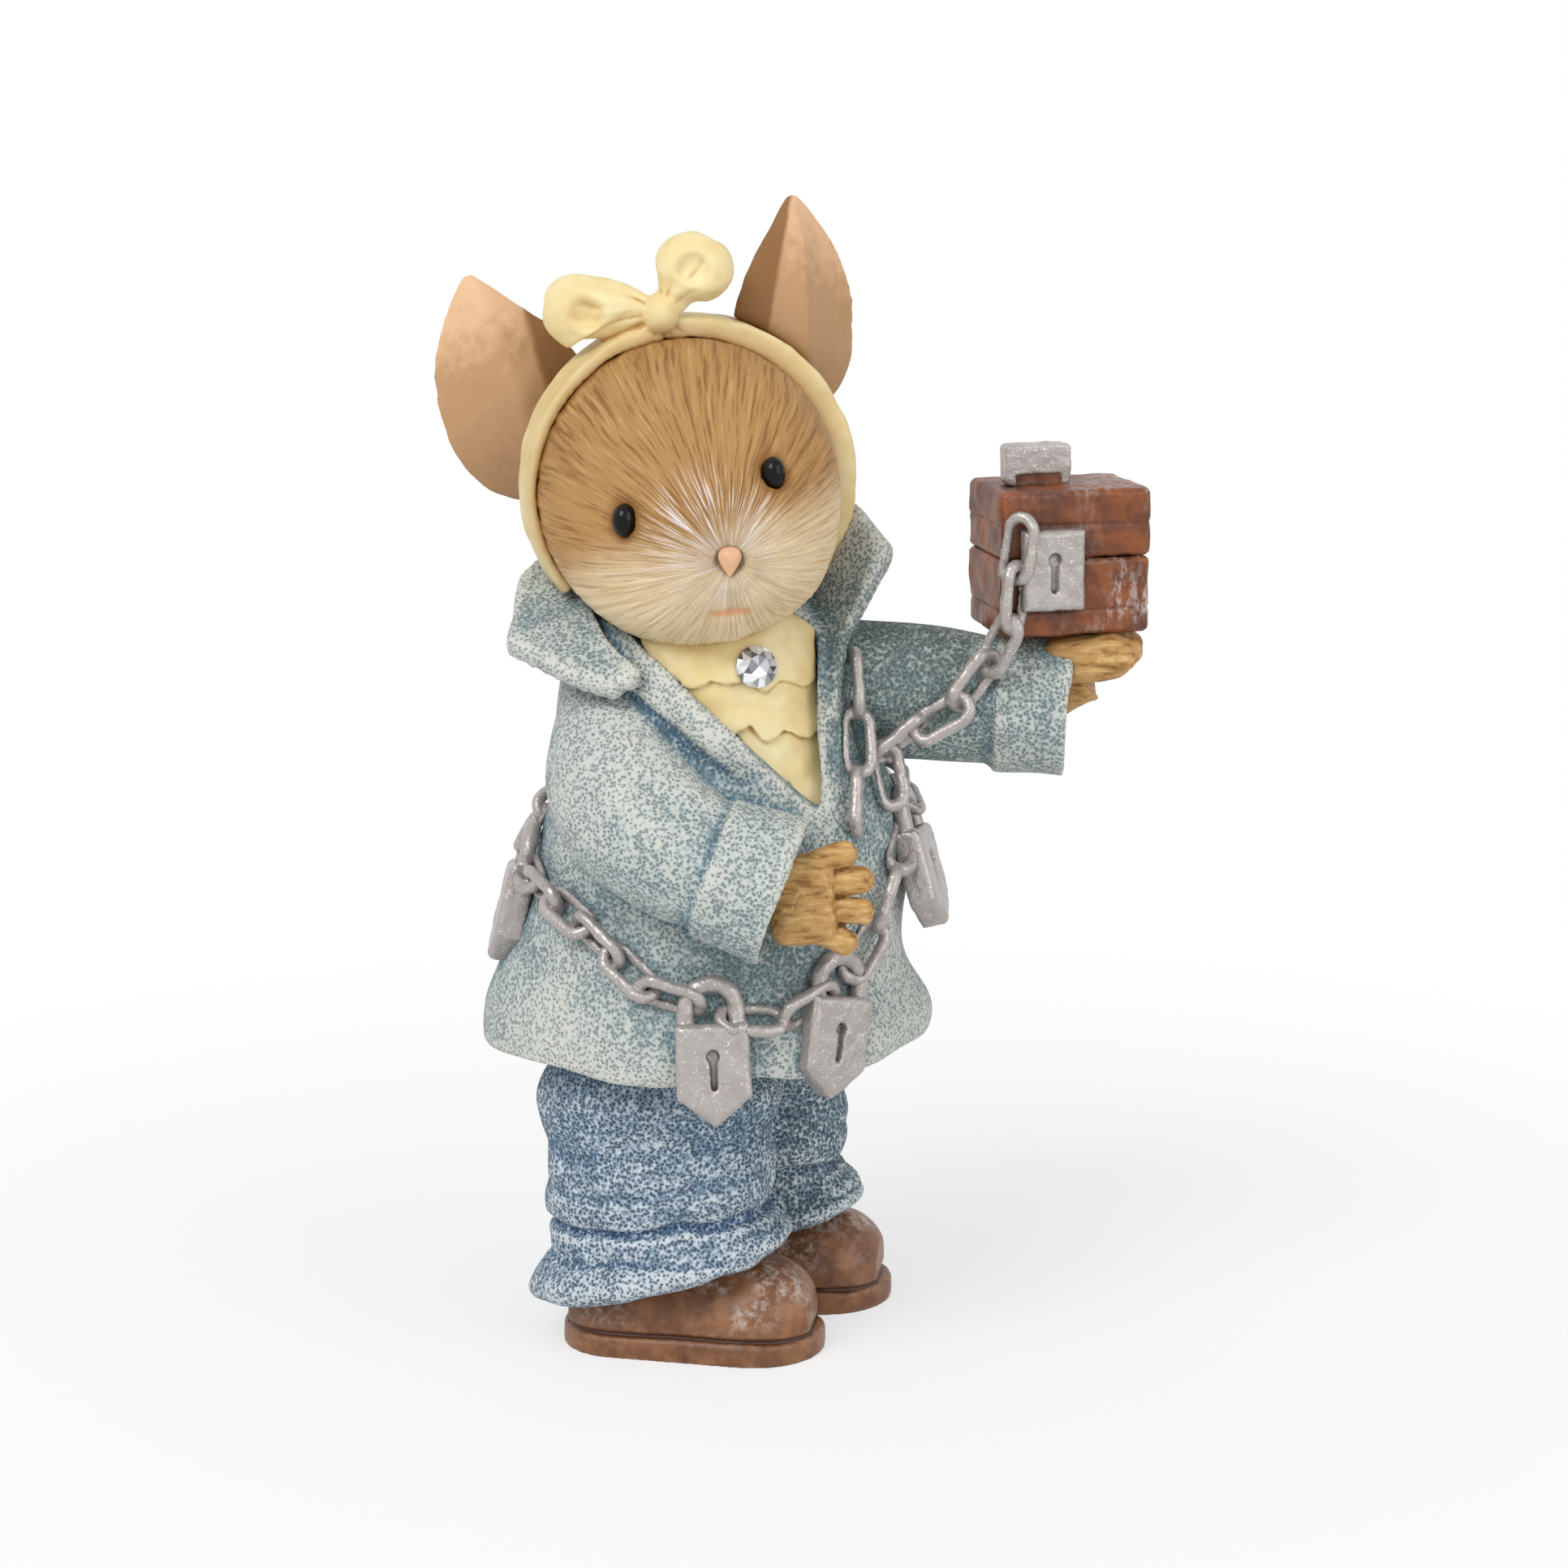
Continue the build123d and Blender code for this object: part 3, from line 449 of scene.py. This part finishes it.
def brown(name, base, rich, dark, worn, grain):
    """Brown paint with painted shade in the recesses and where other pieces meet, scuffed white
    where it has rubbed.
    """
    p = Paint(name)
    mottle = p.noise(2.4, 4, 0.6).outputs["Fac"]
    fine = p.noise(0.9, 4, 0.7).outputs["Fac"]
    scuff = p.noise(0.8, 5, 0.75, p.vector("MULTIPLY", p.mm, grain)).outputs["Fac"]
    cav = p.field("cav")
    colour = p.mix(p.span(mottle, 0.36, 0.66), base, rich)
    colour = p.mix(p.math("MULTIPLY", p.span(fine, 0.52, 0.75), 0.5), colour, dark)
    # Painted shade in the recesses and where other pieces meet
    colour = p.mix(p.span(cav, 0.006, 0.04), colour, dark)
    colour = p.mix(p.math("MULTIPLY", p.field("seam"), 0.75), colour, dark)
    rub = p.field("rub")
    worn_edge = p.math("ADD", p.math("MULTIPLY", rub, 0.8), 0.2)
    edge = p.math("MULTIPLY", p.span(cav, -0.004, -0.04), worn_edge)
    share = p.math("MULTIPLY", p.math("ADD", edge, rub), p.span(scuff, 0.44, 0.66), clamp=True)
    colour = p.mix(p.math("MULTIPLY", share, 0.75), colour, worn)
    return p.done(colour, 0.4, p.bump(mottle, 0.1), 0.4)


def paw_paint(name):
    """Short brown hair, with painted shade between the fingers and where the paw meets the cuff and
    the chest.
    """
    p = Paint(name)
    hair = p.noise(1.0, 3, 0.6, p.vector("MULTIPLY", p.mm, (0.45, 2.2, 2.2))).outputs["Fac"]
    colour = p.mix(p.span(hair, 0.34, 0.5), C(146, 104, 54), C(190, 148, 90))
    colour = p.mix(p.span(hair, 0.52, 0.7), colour, C(214, 178, 120))
    # Painted shade between the fingers and where the paw meets the cuff and the chest
    colour = p.mix(p.span(p.field("cav"), 0.004, 0.04), colour, C(112, 74, 32))
    colour = p.mix(p.math("MULTIPLY", p.field("seam"), 0.6), colour, C(112, 74, 32))
    return p.done(colour, 0.55, p.bump(hair, 0.2), 0.3)


def plain(name, colour, roughness, specular):
    """One colour with soft darker clouds in it."""
    p = Paint(name)
    tone = p.noise(2.0, 2).outputs["Fac"]
    darker = tuple(c * 0.82 for c in colour[:3]) + (1.0,)
    return p.done(p.mix(p.span(tone, 0.3, 0.7), darker, colour), roughness, None, specular)


def facets(name):
    """A foil-backed stone: each facet is painted its own brightness, as a painted reflection."""
    p = Paint(name)
    colour = p.mix(p.field("facet"), C(84, 86, 92), C(244, 246, 250))
    return p.done(colour, 0.08, None, 0.9, 0.35)


blue_coat = pitted_cloth(
    "blue_coat", C(216, 216, 207), C(132, 154, 161), C(76, 86, 84), C(90, 118, 138), 0.26, 0.62
)
blue_trousers = pitted_cloth(
    "blue_trousers", C(210, 217, 222), C(106, 130, 152), C(44, 57, 68), C(82, 108, 142), 0.26, 0.85
)
head_fur = fur("head_fur")
ear_skin = ear_paint("ear_skin")
cream_cloth = cream("cream_cloth", 0.8)
shirt_cloth = cream("shirt_cloth", 0.28)
silver_paint = silver("silver_paint")
shoe_brown = brown(
    "shoe_brown", C(112, 72, 46), C(148, 102, 68), C(70, 40, 24), C(206, 190, 180), (1.0, 1.0, 1.0)
)
chest_brown = brown(
    "chest_brown", C(94, 50, 28), C(138, 75, 34), C(52, 26, 14), C(204, 190, 184), (1.6, 1.6, 0.7)
)
paw_brown = paw_paint("paw_brown")
eye_black = plain("eye_black", C(8, 7, 8), 0.04, 0.22)
nose_peach = plain("nose_peach", C(236, 186, 146), 0.4, 0.4)
stone = facets("stone")


# Pieces

nose_at = mid("nose")
head_at = nose_at + np.array([-3.2, 12.7, 3.3])
knot_at = mid("bow_knot")
figure = nose_at - np.array([1.48, -15.2, 61.2])
# How the strands of the fur are laid: across, along and bend
STRANDS = (42, 0.28, 0.02)
# Patches of painted light and painted shade on the coat, measured from the figure's foot: strength,
# place and reach
LIT_PATCHES = [
    (0.5, (-11.0, -10.0, 25.0), 7.0),
    (0.3, (-7.0, -11.0, 46.0), 6.0),
    (0.5, (14.0, -5.0, 28.0), 8.0),
]
# The second table is painted shade; its negative entry paints light onto the collar where the head
# casts its shadow
SHADE_PATCHES = [
    (1.3, (13.0, -3.0, 52.0), 6.5),
    (-0.5, (10.0, -2.0, 60.0), 5.0),
    (0.7, (3.5, -13.0, 32.0), 5.0),
]
# Creases round the trousers: height, depth and reach
TROUSER_CREASES = [(10.4, 0.5, 0.42), (7.9, 0.22, 0.35), (13.4, 0.2, 0.6), (16.4, 0.16, 0.7)]
# The slanting edge of the coat's opening, seen from the front: its two ends and its direction
OPENING_TOP = (-9.4, 58.3)
OPENING_FOOT = (8.0, 41.6)
SLANT = (0.722, -0.693)


def blob(v, centre, radius):
    """A soft bump, 1 at its centre."""
    return np.exp(-(np.linalg.norm(v - centre, axis=1) / radius) ** 2)


def patches(v, table):
    return sum(share * blob(v, np.array(at), reach) for share, at, reach in table)


def radiate(v, centre, across, along, bend=0.0):
    """Positions for streaks that run out from a centre, as seen from the front."""
    d = v - centre
    angle = np.arctan2(d[:, 2], d[:, 0]) + bend * rough(v, 3.0, 1)
    far = np.linalg.norm(d, axis=1)
    return np.stack([across * np.cos(angle), across * np.sin(angle), along * far], 1), far


def smile(d):
    """Height above the line of the mouth, and how far a point lies within its ends."""
    height = d[:, 2] + 3.8 - 0.1 * d[:, 0] - 0.06 * d[:, 0] ** 2
    return height, step(1.7 - np.abs(d[:, 0]), 0, 0.6)


def sculpt_head(v, q):
    n = normals(v, q)
    d = v - nose_at
    front = step(-n[:, 1], -0.2, 0.4)
    lay, far = radiate(v, nose_at, *STRANDS)
    out = 0.07 * rough(lay, 1.6, 2) * step(far, 1.5, 6) * (0.4 + 0.6 * front)
    for side in (-1, 1):
        out += 0.6 * blob(v, nose_at + np.array([1.7 * side, 1.6, -2.1]), 1.7)
        out += 0.5 * blob(v, nose_at + np.array([6.5 * side, 6.0, -3.5]), 4.0)
    out += 0.5 * blob(v, nose_at + np.array([0.0, 3.4, -5.6]), 2.0)
    below = step(-d[:, 2], 0.6, 1.2) * step(d[:, 2] + 4.2, 0, 0.6)
    out -= 0.3 * np.exp(-(d[:, 0] / 0.35) ** 2) * below * front
    height, within = smile(d)
    out -= 0.3 * np.exp(-(height / 0.3) ** 2) * within * front
    for eye in ("right_eye", "left_eye"):
        ring = np.linalg.norm(v - mid(eye), axis=1)
        out -= 0.16 * np.exp(-((ring - 1.35) / 0.35) ** 2)
    return v + n * out[:, None]


def head_fields(v, n):
    d = v - nose_at
    lay, far = radiate(v, nose_at, *STRANDS)
    front = step(-n[:, 1], -0.1, 0.3)
    # The head leans to one side, and the pale lower half of the face leans with it.
    above = 0.954 * d[:, 2] - 0.299 * d[:, 0] + 0.8 * rough(v, 3.0, 2)
    pale = (1 - step(above, -1.2, 3.8)) * step(-n[:, 1], -0.5, 0.1)
    frost = step(6.2 - np.hypot(d[:, 0] + 1.2, d[:, 2] - 1.0), 0, 3.8) * front
    height, within = smile(d)
    lips = np.exp(-(height / 0.24) ** 2) * within * front
    return {"fur": lay, "pale": pale, "frost": frost, "lips": lips}


def ear_fields(node, outward):
    """The tip and the outer rim are peach, and the hollow beside the ridge is brown, partly as
    painted shade.
    """
    lo, hi = (np.array(c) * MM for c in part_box(node))

    def fields(v, n):
        share = (v - lo) / (hi - lo)
        rim = 0.5 + outward * (share[:, 0] - 0.5)
        ridge = (0.5 if outward > 0 else 0.6) - 0.35 * (1 - share[:, 2])
        return {"out": share[:, 2] + 0.35 * (rim - 0.5), "inner": step(ridge - rim, -0.05, 0.08)}
    return fields


def coat_fields(v, n):
    """Painted light and shade on the coat: lighter where light falls, darker and greener where
    shade falls.
    """
    w = v - figure
    dark = patches(w, SHADE_PATCHES)
    green_shade = np.clip(dark + 0.35 * step(w[:, 0], 2.0, 14.0), 0, 1)
    return {"painted_light_and_shade": 0.3 + patches(w, LIT_PATCHES) - 0.6 * dark, "green_shade": green_shade}


def leg_fields(v, n):
    """Painted light and shade: the turn-ups are painted paler where light falls, and the leg
    further back is painted darker and greener as painted shade.
    """
    w = v - figure
    low = step(19.0 - w[:, 2], 0, 9)
    far_leg = step(w[:, 0], 1.0, 6.0)
    return {"painted_light_and_shade": 0.08 + 0.08 * low - 0.12 * far_leg, "green_shade": 0.8 * far_leg}


def sculpt_coat(v, q):
    n = normals(v, q)
    w = v - figure
    front = step(-n[:, 1], 0.1, 0.5)
    out = 0.25 * rough(v, 6.0, 2)
    # The lapel, a strip beside the slanting edge of the opening.
    run = SLANT[0] * (w[:, 0] - OPENING_TOP[0]) + SLANT[1] * (w[:, 2] - OPENING_TOP[1])
    aside = SLANT[1] * (w[:, 0] - OPENING_FOOT[0]) - SLANT[0] * (w[:, 2] - OPENING_FOOT[1])
    width = 3.4 - 0.09 * run
    lapel = step(width - aside, 0, 0.4) * step(aside, -0.6, 0.0)
    lapel = lapel * step(run, 5, 8) * step(19 - run, 0, 3)
    out += 0.45 * lapel * front * step(w[:, 1] + 13.5, 0, 1)
    # Creases in the crook of the folded arm.
    crook = np.array([-2.0, -11.5, 44.6])
    e = w - crook
    phase = 1.9 * (0.55 * e[:, 0] + 0.8 * e[:, 2]) + 0.6 * rough(v, 3.0, 1)
    out += 0.35 * np.sin(phase) * blob(w, crook, 4.5)
    # The skirt waves a little at the hem.
    angle = np.arctan2(w[:, 1], w[:, 0])
    skirt = step(33.0 - w[:, 2], 0, 8) * step(17.5 - np.hypot(w[:, 0], w[:, 1]), 0, 1.0)
    out += 0.3 * np.sin(6 * angle + 1.0) * skirt
    return v + n * out[:, None]


def sculpt_legs(v, q):
    n = normals(v, q)
    w = v - figure
    level = w[:, 2] - 0.09 * (w[:, 0] + 3.0) + 0.35 * rough(v, 4.0, 2)
    out = 0.14 * rough(v, 2.6, 2)
    for at, depth, reach in TROUSER_CREASES:
        out -= depth * np.exp(-((level - at) / reach) ** 2)
    out += 0.25 * step(10.3 - level, 0, 0.5)
    return v + n * (out * step(21.5 - w[:, 2], 0, 3))[:, None]


def sculpt_shoe(v, q):
    n = normals(v, q)
    side = step(0.8 - np.abs(n[:, 2]), 0, 0.3)
    groove = np.exp(-((v[:, 2] - 1.85) / 0.2) ** 2) * side
    out = (0.07 * rough(v, 2.0, 2) - 0.28 * groove) * step(v[:, 2], 0.1, 0.7)
    return v + n * out[:, None]


def shoe_fields(v, n):
    upper = step(n[:, 2], -0.2, 0.5) * step(v[:, 2], 1.8, 3.0)
    return {"rub": upper * step(rough(v, 3.5, 2), -0.5, 0.4)}


def chest_fields(v, n):
    right = 0.1 + 0.75 * step(v[:, 0] - mid("chest_lid")[0], -1.0, 5.0)
    return {"rub": right * step(rough(v, 3.0, 2) + 0.5 * n[:, 2], -0.2, 0.7)}


def sculpt_bow(v, q):
    lay, far = radiate(v, knot_at, 5, 0.12)
    pleats = rough(lay, 1.4, 2) * step(far, 1.2, 2.0) * step(9.0 - far, 0, 3.5)
    rise = np.linalg.norm(v - head_at, axis=1) - np.linalg.norm(knot_at - head_at)
    loops = step(far, 1.5, 5.0) * step(rise, 0.2, 1.2) * step(10.5 - far, 0, 1.0)
    v = v + normals(v, q) * (0.2 * pleats + 0.1 * rough(v, 2.0, 2) + 0.2 * loops)[:, None]
    # The plump loops droop a little.
    v[:, 2] -= 0.7 * loops
    return v


def sculpt_shirt(v, q):
    """Ruffles that hang unevenly."""
    v = v + normals(v, q) * (0.14 * rough(v, 1.6, 2))[:, None]
    drop = 0.5 * rough(v * np.array([1.0, 0.3, 0.6]), 1.7, 2)
    v[:, 2] += drop * step(nose_at[2] - 6.5 - v[:, 2], 0, 2.0)
    return v


def sculpt_ear(v, q):
    """A soft ridge and soft dents, with the root drawn in under the fur."""
    v[:, 1] = smooth(v, q, 140)[:, 1]
    v = v + normals(v, q) * (0.1 * rough(v, 2.2, 2))[:, None]
    inward = head_at - v
    inward /= np.linalg.norm(inward, axis=1, keepdims=True)
    return v + inward * (2.2 * blob(v - figure, np.array([6.0, 5.5, 71.3]), 1.8))[:, None]


def dented(amount, size, swell=0.0):
    def sculpt(v, q):
        return v + normals(v, q) * (swell + amount * rough(v, size, 2))[:, None]
    return sculpt


chains = ["waist_chain", "lapel_chain", "arm_chain"]
places = ["front", "hip", "left", "right"]
locks = [place + part for place in places for part in ("_padlock", "_shackle")]
bow = ["bow_knot", "bow_right_loop", "bow_left_loop"]
coat_nodes = ["coat_body", "collar", "right_sleeve", "right_cuff", "left_sleeve", "left_cuff"]
# The collar is sewn down all round, and covers the end of the head band.
collar_v, collar_q = triangles(["collar"])
sewn = (collar_v - np.array([0, 0, 0.4]), collar_q)
cover = lump(figure + np.array([8.0, 4.2, 58.9]), math.atan2(4.2, 8.0), np.array([0.8, 1.8, 2.6]))
make(
    "coat", coat_nodes, 0.28, 3, blue_coat, sculpt_coat, coat_fields,
    chains + locks + ["head", "shirt_front", "right_hand", "left_hand"], [sewn, cover],
)
make(
    "trousers", ["right_leg", "left_leg"], 0.2, 4, blue_trousers, sculpt_legs, leg_fields,
    ["coat_body", "right_shoe_upper", "left_shoe_upper"],
)
make(
    "mouse_head", ["head"], 0.17, 4, head_fur, sculpt_head, head_fields,
    ["headband", "right_eye", "left_eye", "collar"],
)
for side, outward in (("right", -1), ("left", 1)):
    ear = side + "_ear"
    hand = side + "_hand"
    shoe = [side + "_shoe_upper", side + "_shoe_sole"]
    make(
        ear + "_cast", [ear], 0.1, 30, ear_skin, sculpt_ear, ear_fields(ear, outward),
        ["headband", "head"],
    )
    make(
        side + "_paw", [hand], 0.13, 2, paw_brown, dented(0.09, 0.9), None,
        [side + "_cuff", "chest_box"],
    )
    make(
        side + "_shoe", shoe, 0.15, 2, shoe_brown, sculpt_shoe, shoe_fields,
        [side + "_leg"],
    )
make(
    "band", ["headband"] + bow, 0.15, 4, cream_cloth, sculpt_bow, None,
    ["head", "right_ear", "left_ear"],
)
make(
    "shirt", ["shirt_front"], 0.13, 3, shirt_cloth, sculpt_shirt, None,
    ["coat_body", "collar", "head"],
)
# The casting is solid under the strap of the handle.
for half, cores in (("chest_box", ()), ("chest_lid", [hull("chest_handle", 0.86)])):
    make(
        half + "_planks", [half], 0.13, 2, chest_brown, dented(0.1, 1.6), chest_fields,
        ["chest_lock", "chest_handle"], cores,
    )
make(
    "chest_fittings", ["chest_handle", "chest_lock"], 0.12, 2, silver_paint,
    dented(0.05, 0.8), None, ["chest_lid"],
)
for strand in chains:
    make(
        strand + "_cast", [strand], 0.12, 3, silver_paint, dented(0.05, 0.8, 0.07), None,
        ["coat_body", "chest_box", "chest_lid"],
    )
for place in places:
    lock = [place + "_padlock", place + "_shackle"]
    make(
        place + "_lock", lock, 0.12, 2, silver_paint, dented(0.05, 0.8, 0.04), None,
        ["coat_body"],
    )


def bead(name, node, material, taper=0.0):
    """A smooth oval bead, narrowed downwards by a taper."""
    lo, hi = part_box(node)
    bpy.ops.mesh.primitive_uv_sphere_add(segments=48, ring_count=24, radius=1.0)
    ob = bpy.context.object
    ob.name = name
    centre, half = (lo + hi) / 2, (hi - lo) / 2
    for vert in ob.data.vertices:
        x, y, z = vert.co
        share = 1 - taper * (1 - z) / 2
        vert.co = Vector(c + h * k for c, h, k in zip(centre, half, (x * share, y * share, z)))
    ob.data.polygons.foreach_set("use_smooth", [True] * len(ob.data.polygons))
    ob.data.materials.append(material)
    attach(ob, "root")
    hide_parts(node)


bead("right_eye_bead", "right_eye", eye_black)
bead("left_eye_bead", "left_eye", eye_black)
bead("nose_tip", "nose", nose_peach, 0.75)


def cut_stone(name, node):
    """A round brilliant in its setting on the shirt."""
    me = NODES[node].data
    table = max(me.polygons, key=lambda face: face.area * max(0.0, -face.normal.y))
    axis = table.normal.copy()
    verts = [vert.co for vert in me.vertices]
    high = max(co.dot(axis) for co in verts)
    low = min(co.dot(axis) for co in verts)
    lo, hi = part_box(node)
    centre = (lo + hi) / 2
    side = axis.orthogonal().normalized()
    other = axis.cross(side)
    radius = max((co - centre - axis * (co - centre).dot(axis)).length for co in verts) * 0.97
    crown = 0.36 * (high - low)
    rings = [(8, 0.0, 0.52, 1.0), (8, 0.5, 0.78, 0.62), (16, 0.0, 1.0, 0.12), (16, 0.0, 1.0, -0.1)]
    bm = bmesh.new()
    foot = centre - axis * centre.dot(axis)
    for count, turn, reach, rise in rings:
        for i in range(count):
            angle = 2 * math.pi * (i + turn) / count
            flat = side * math.cos(angle) + other * math.sin(angle)
            bm.verts.new(foot + axis * (high - crown * (1 - rise)) + flat * (radius * reach))
    bm.verts.new(foot + axis * (high + 0.02 * crown))
    bm.verts.new(foot + axis * low)
    bmesh.ops.convex_hull(bm, input=bm.verts)
    stone_mesh = bpy.data.meshes.new(name)
    bm.to_mesh(stone_mesh)
    bm.free()
    # Painted reflections: each facet is given one of four brightnesses at random
    shine = np.random.default_rng(7).choice([0.05, 0.3, 0.75, 1.0], len(stone_mesh.polygons))
    field = stone_mesh.attributes.new("facet", "FLOAT", "FACE")
    field.data.foreach_set("value", shine.astype(np.float32))
    stone_mesh.materials.append(stone)
    ob = bpy.data.objects.new(name, stone_mesh)
    bpy.context.scene.collection.objects.link(ob)
    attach(ob, "root")
    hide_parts(node)


cut_stone("brilliant", "crystal")

# Stage, light and camera


def floor(size):
    """A pale floor that keeps the shadow near the object and shows as white further off."""
    bpy.ops.mesh.primitive_plane_add(size=size)
    ob = bpy.context.object
    ob.name = "floor"
    p = Paint("floor")
    p.done((0.9, 0.9, 0.9, 1.0), 0.9, None, 0.0)
    glow = p.node("ShaderNodeEmission")
    far = p.node("ShaderNodeVectorMath", operation="LENGTH")
    p.put(far.inputs[0], p.mm)
    share = p.math("ADD", p.math("MULTIPLY", p.span(far.outputs["Value"], 20, 130), 0.4), 0.6)
    path = p.node("ShaderNodeLightPath")
    seen = p.math("ADD", path.outputs["Is Camera Ray"], path.outputs["Is Glossy Ray"])
    seen = p.math("ADD", seen, path.outputs["Is Transmission Ray"], clamp=True)
    blend = p.node("ShaderNodeMixShader")
    p.put(blend.inputs[0], p.math("MULTIPLY", share, seen))
    p.put(blend.inputs[1], p.bsdf.outputs[0])
    p.put(blend.inputs[2], glow.outputs[0])
    p.put(p.tree.nodes["Material Output"].inputs[0], blend.outputs[0])
    ob.data.materials.append(p.mat)


floor(6.0)


def lamp(name, place, aim, size, power):
    data = bpy.data.lights.new(name, "AREA")
    data.size = size
    data.energy = power
    ob = bpy.data.objects.new(name, data)
    ob.location = place
    ob.rotation_euler = (Vector(aim) - Vector(place)).to_track_quat("-Z", "Y").to_euler()
    bpy.context.scene.collection.objects.link(ob)


lamp("key", (-0.25, -0.35, 0.45), (0, 0, 0.04), 0.3, 1.8)
lamp("fill", (0.4, -0.3, 0.25), (0, 0, 0.04), 0.4, 0.8)

world = bpy.data.worlds.new("studio")
world.use_nodes = True
sky = world.node_tree
sky.nodes["Background"].inputs["Color"].default_value = (1, 1, 1, 1)
path = sky.nodes.new("ShaderNodeLightPath")
seen = path.outputs["Is Camera Ray"]
for ray in ("Is Glossy Ray", "Is Transmission Ray"):
    both = sky.nodes.new("ShaderNodeMath")
    both.operation = "MAXIMUM"
    sky.links.new(seen, both.inputs[0])
    sky.links.new(path.outputs[ray], both.inputs[1])
    seen = both.outputs[0]
level = sky.nodes.new("ShaderNodeMapRange")
level.inputs["To Min"].default_value = 0.55
sky.links.new(seen, level.inputs["Value"])
sky.links.new(level.outputs[0], sky.nodes["Background"].inputs["Strength"])
bpy.context.scene.world = world

cam = bpy.data.cameras.new("camera")
cam.sensor_width = 36.0
cam.lens = 97.1
cam.clip_start, cam.clip_end = 0.01, 20.0
cam_ob = bpy.data.objects.new("camera", cam)
stand = Vector((figure[0] + 5.2, figure[1] - 1.5, 0)) / MM
cam_ob.location = Vector((0, -0.300, 0.110)) + stand
aim = Vector((0, 0, 0.0425)) + stand
cam_ob.rotation_euler = (aim - cam_ob.location).to_track_quat("-Z", "Y").to_euler()
bpy.context.scene.collection.objects.link(cam_ob)
bpy.context.scene.camera = cam_ob
bpy.context.scene.view_settings.view_transform = "Standard"
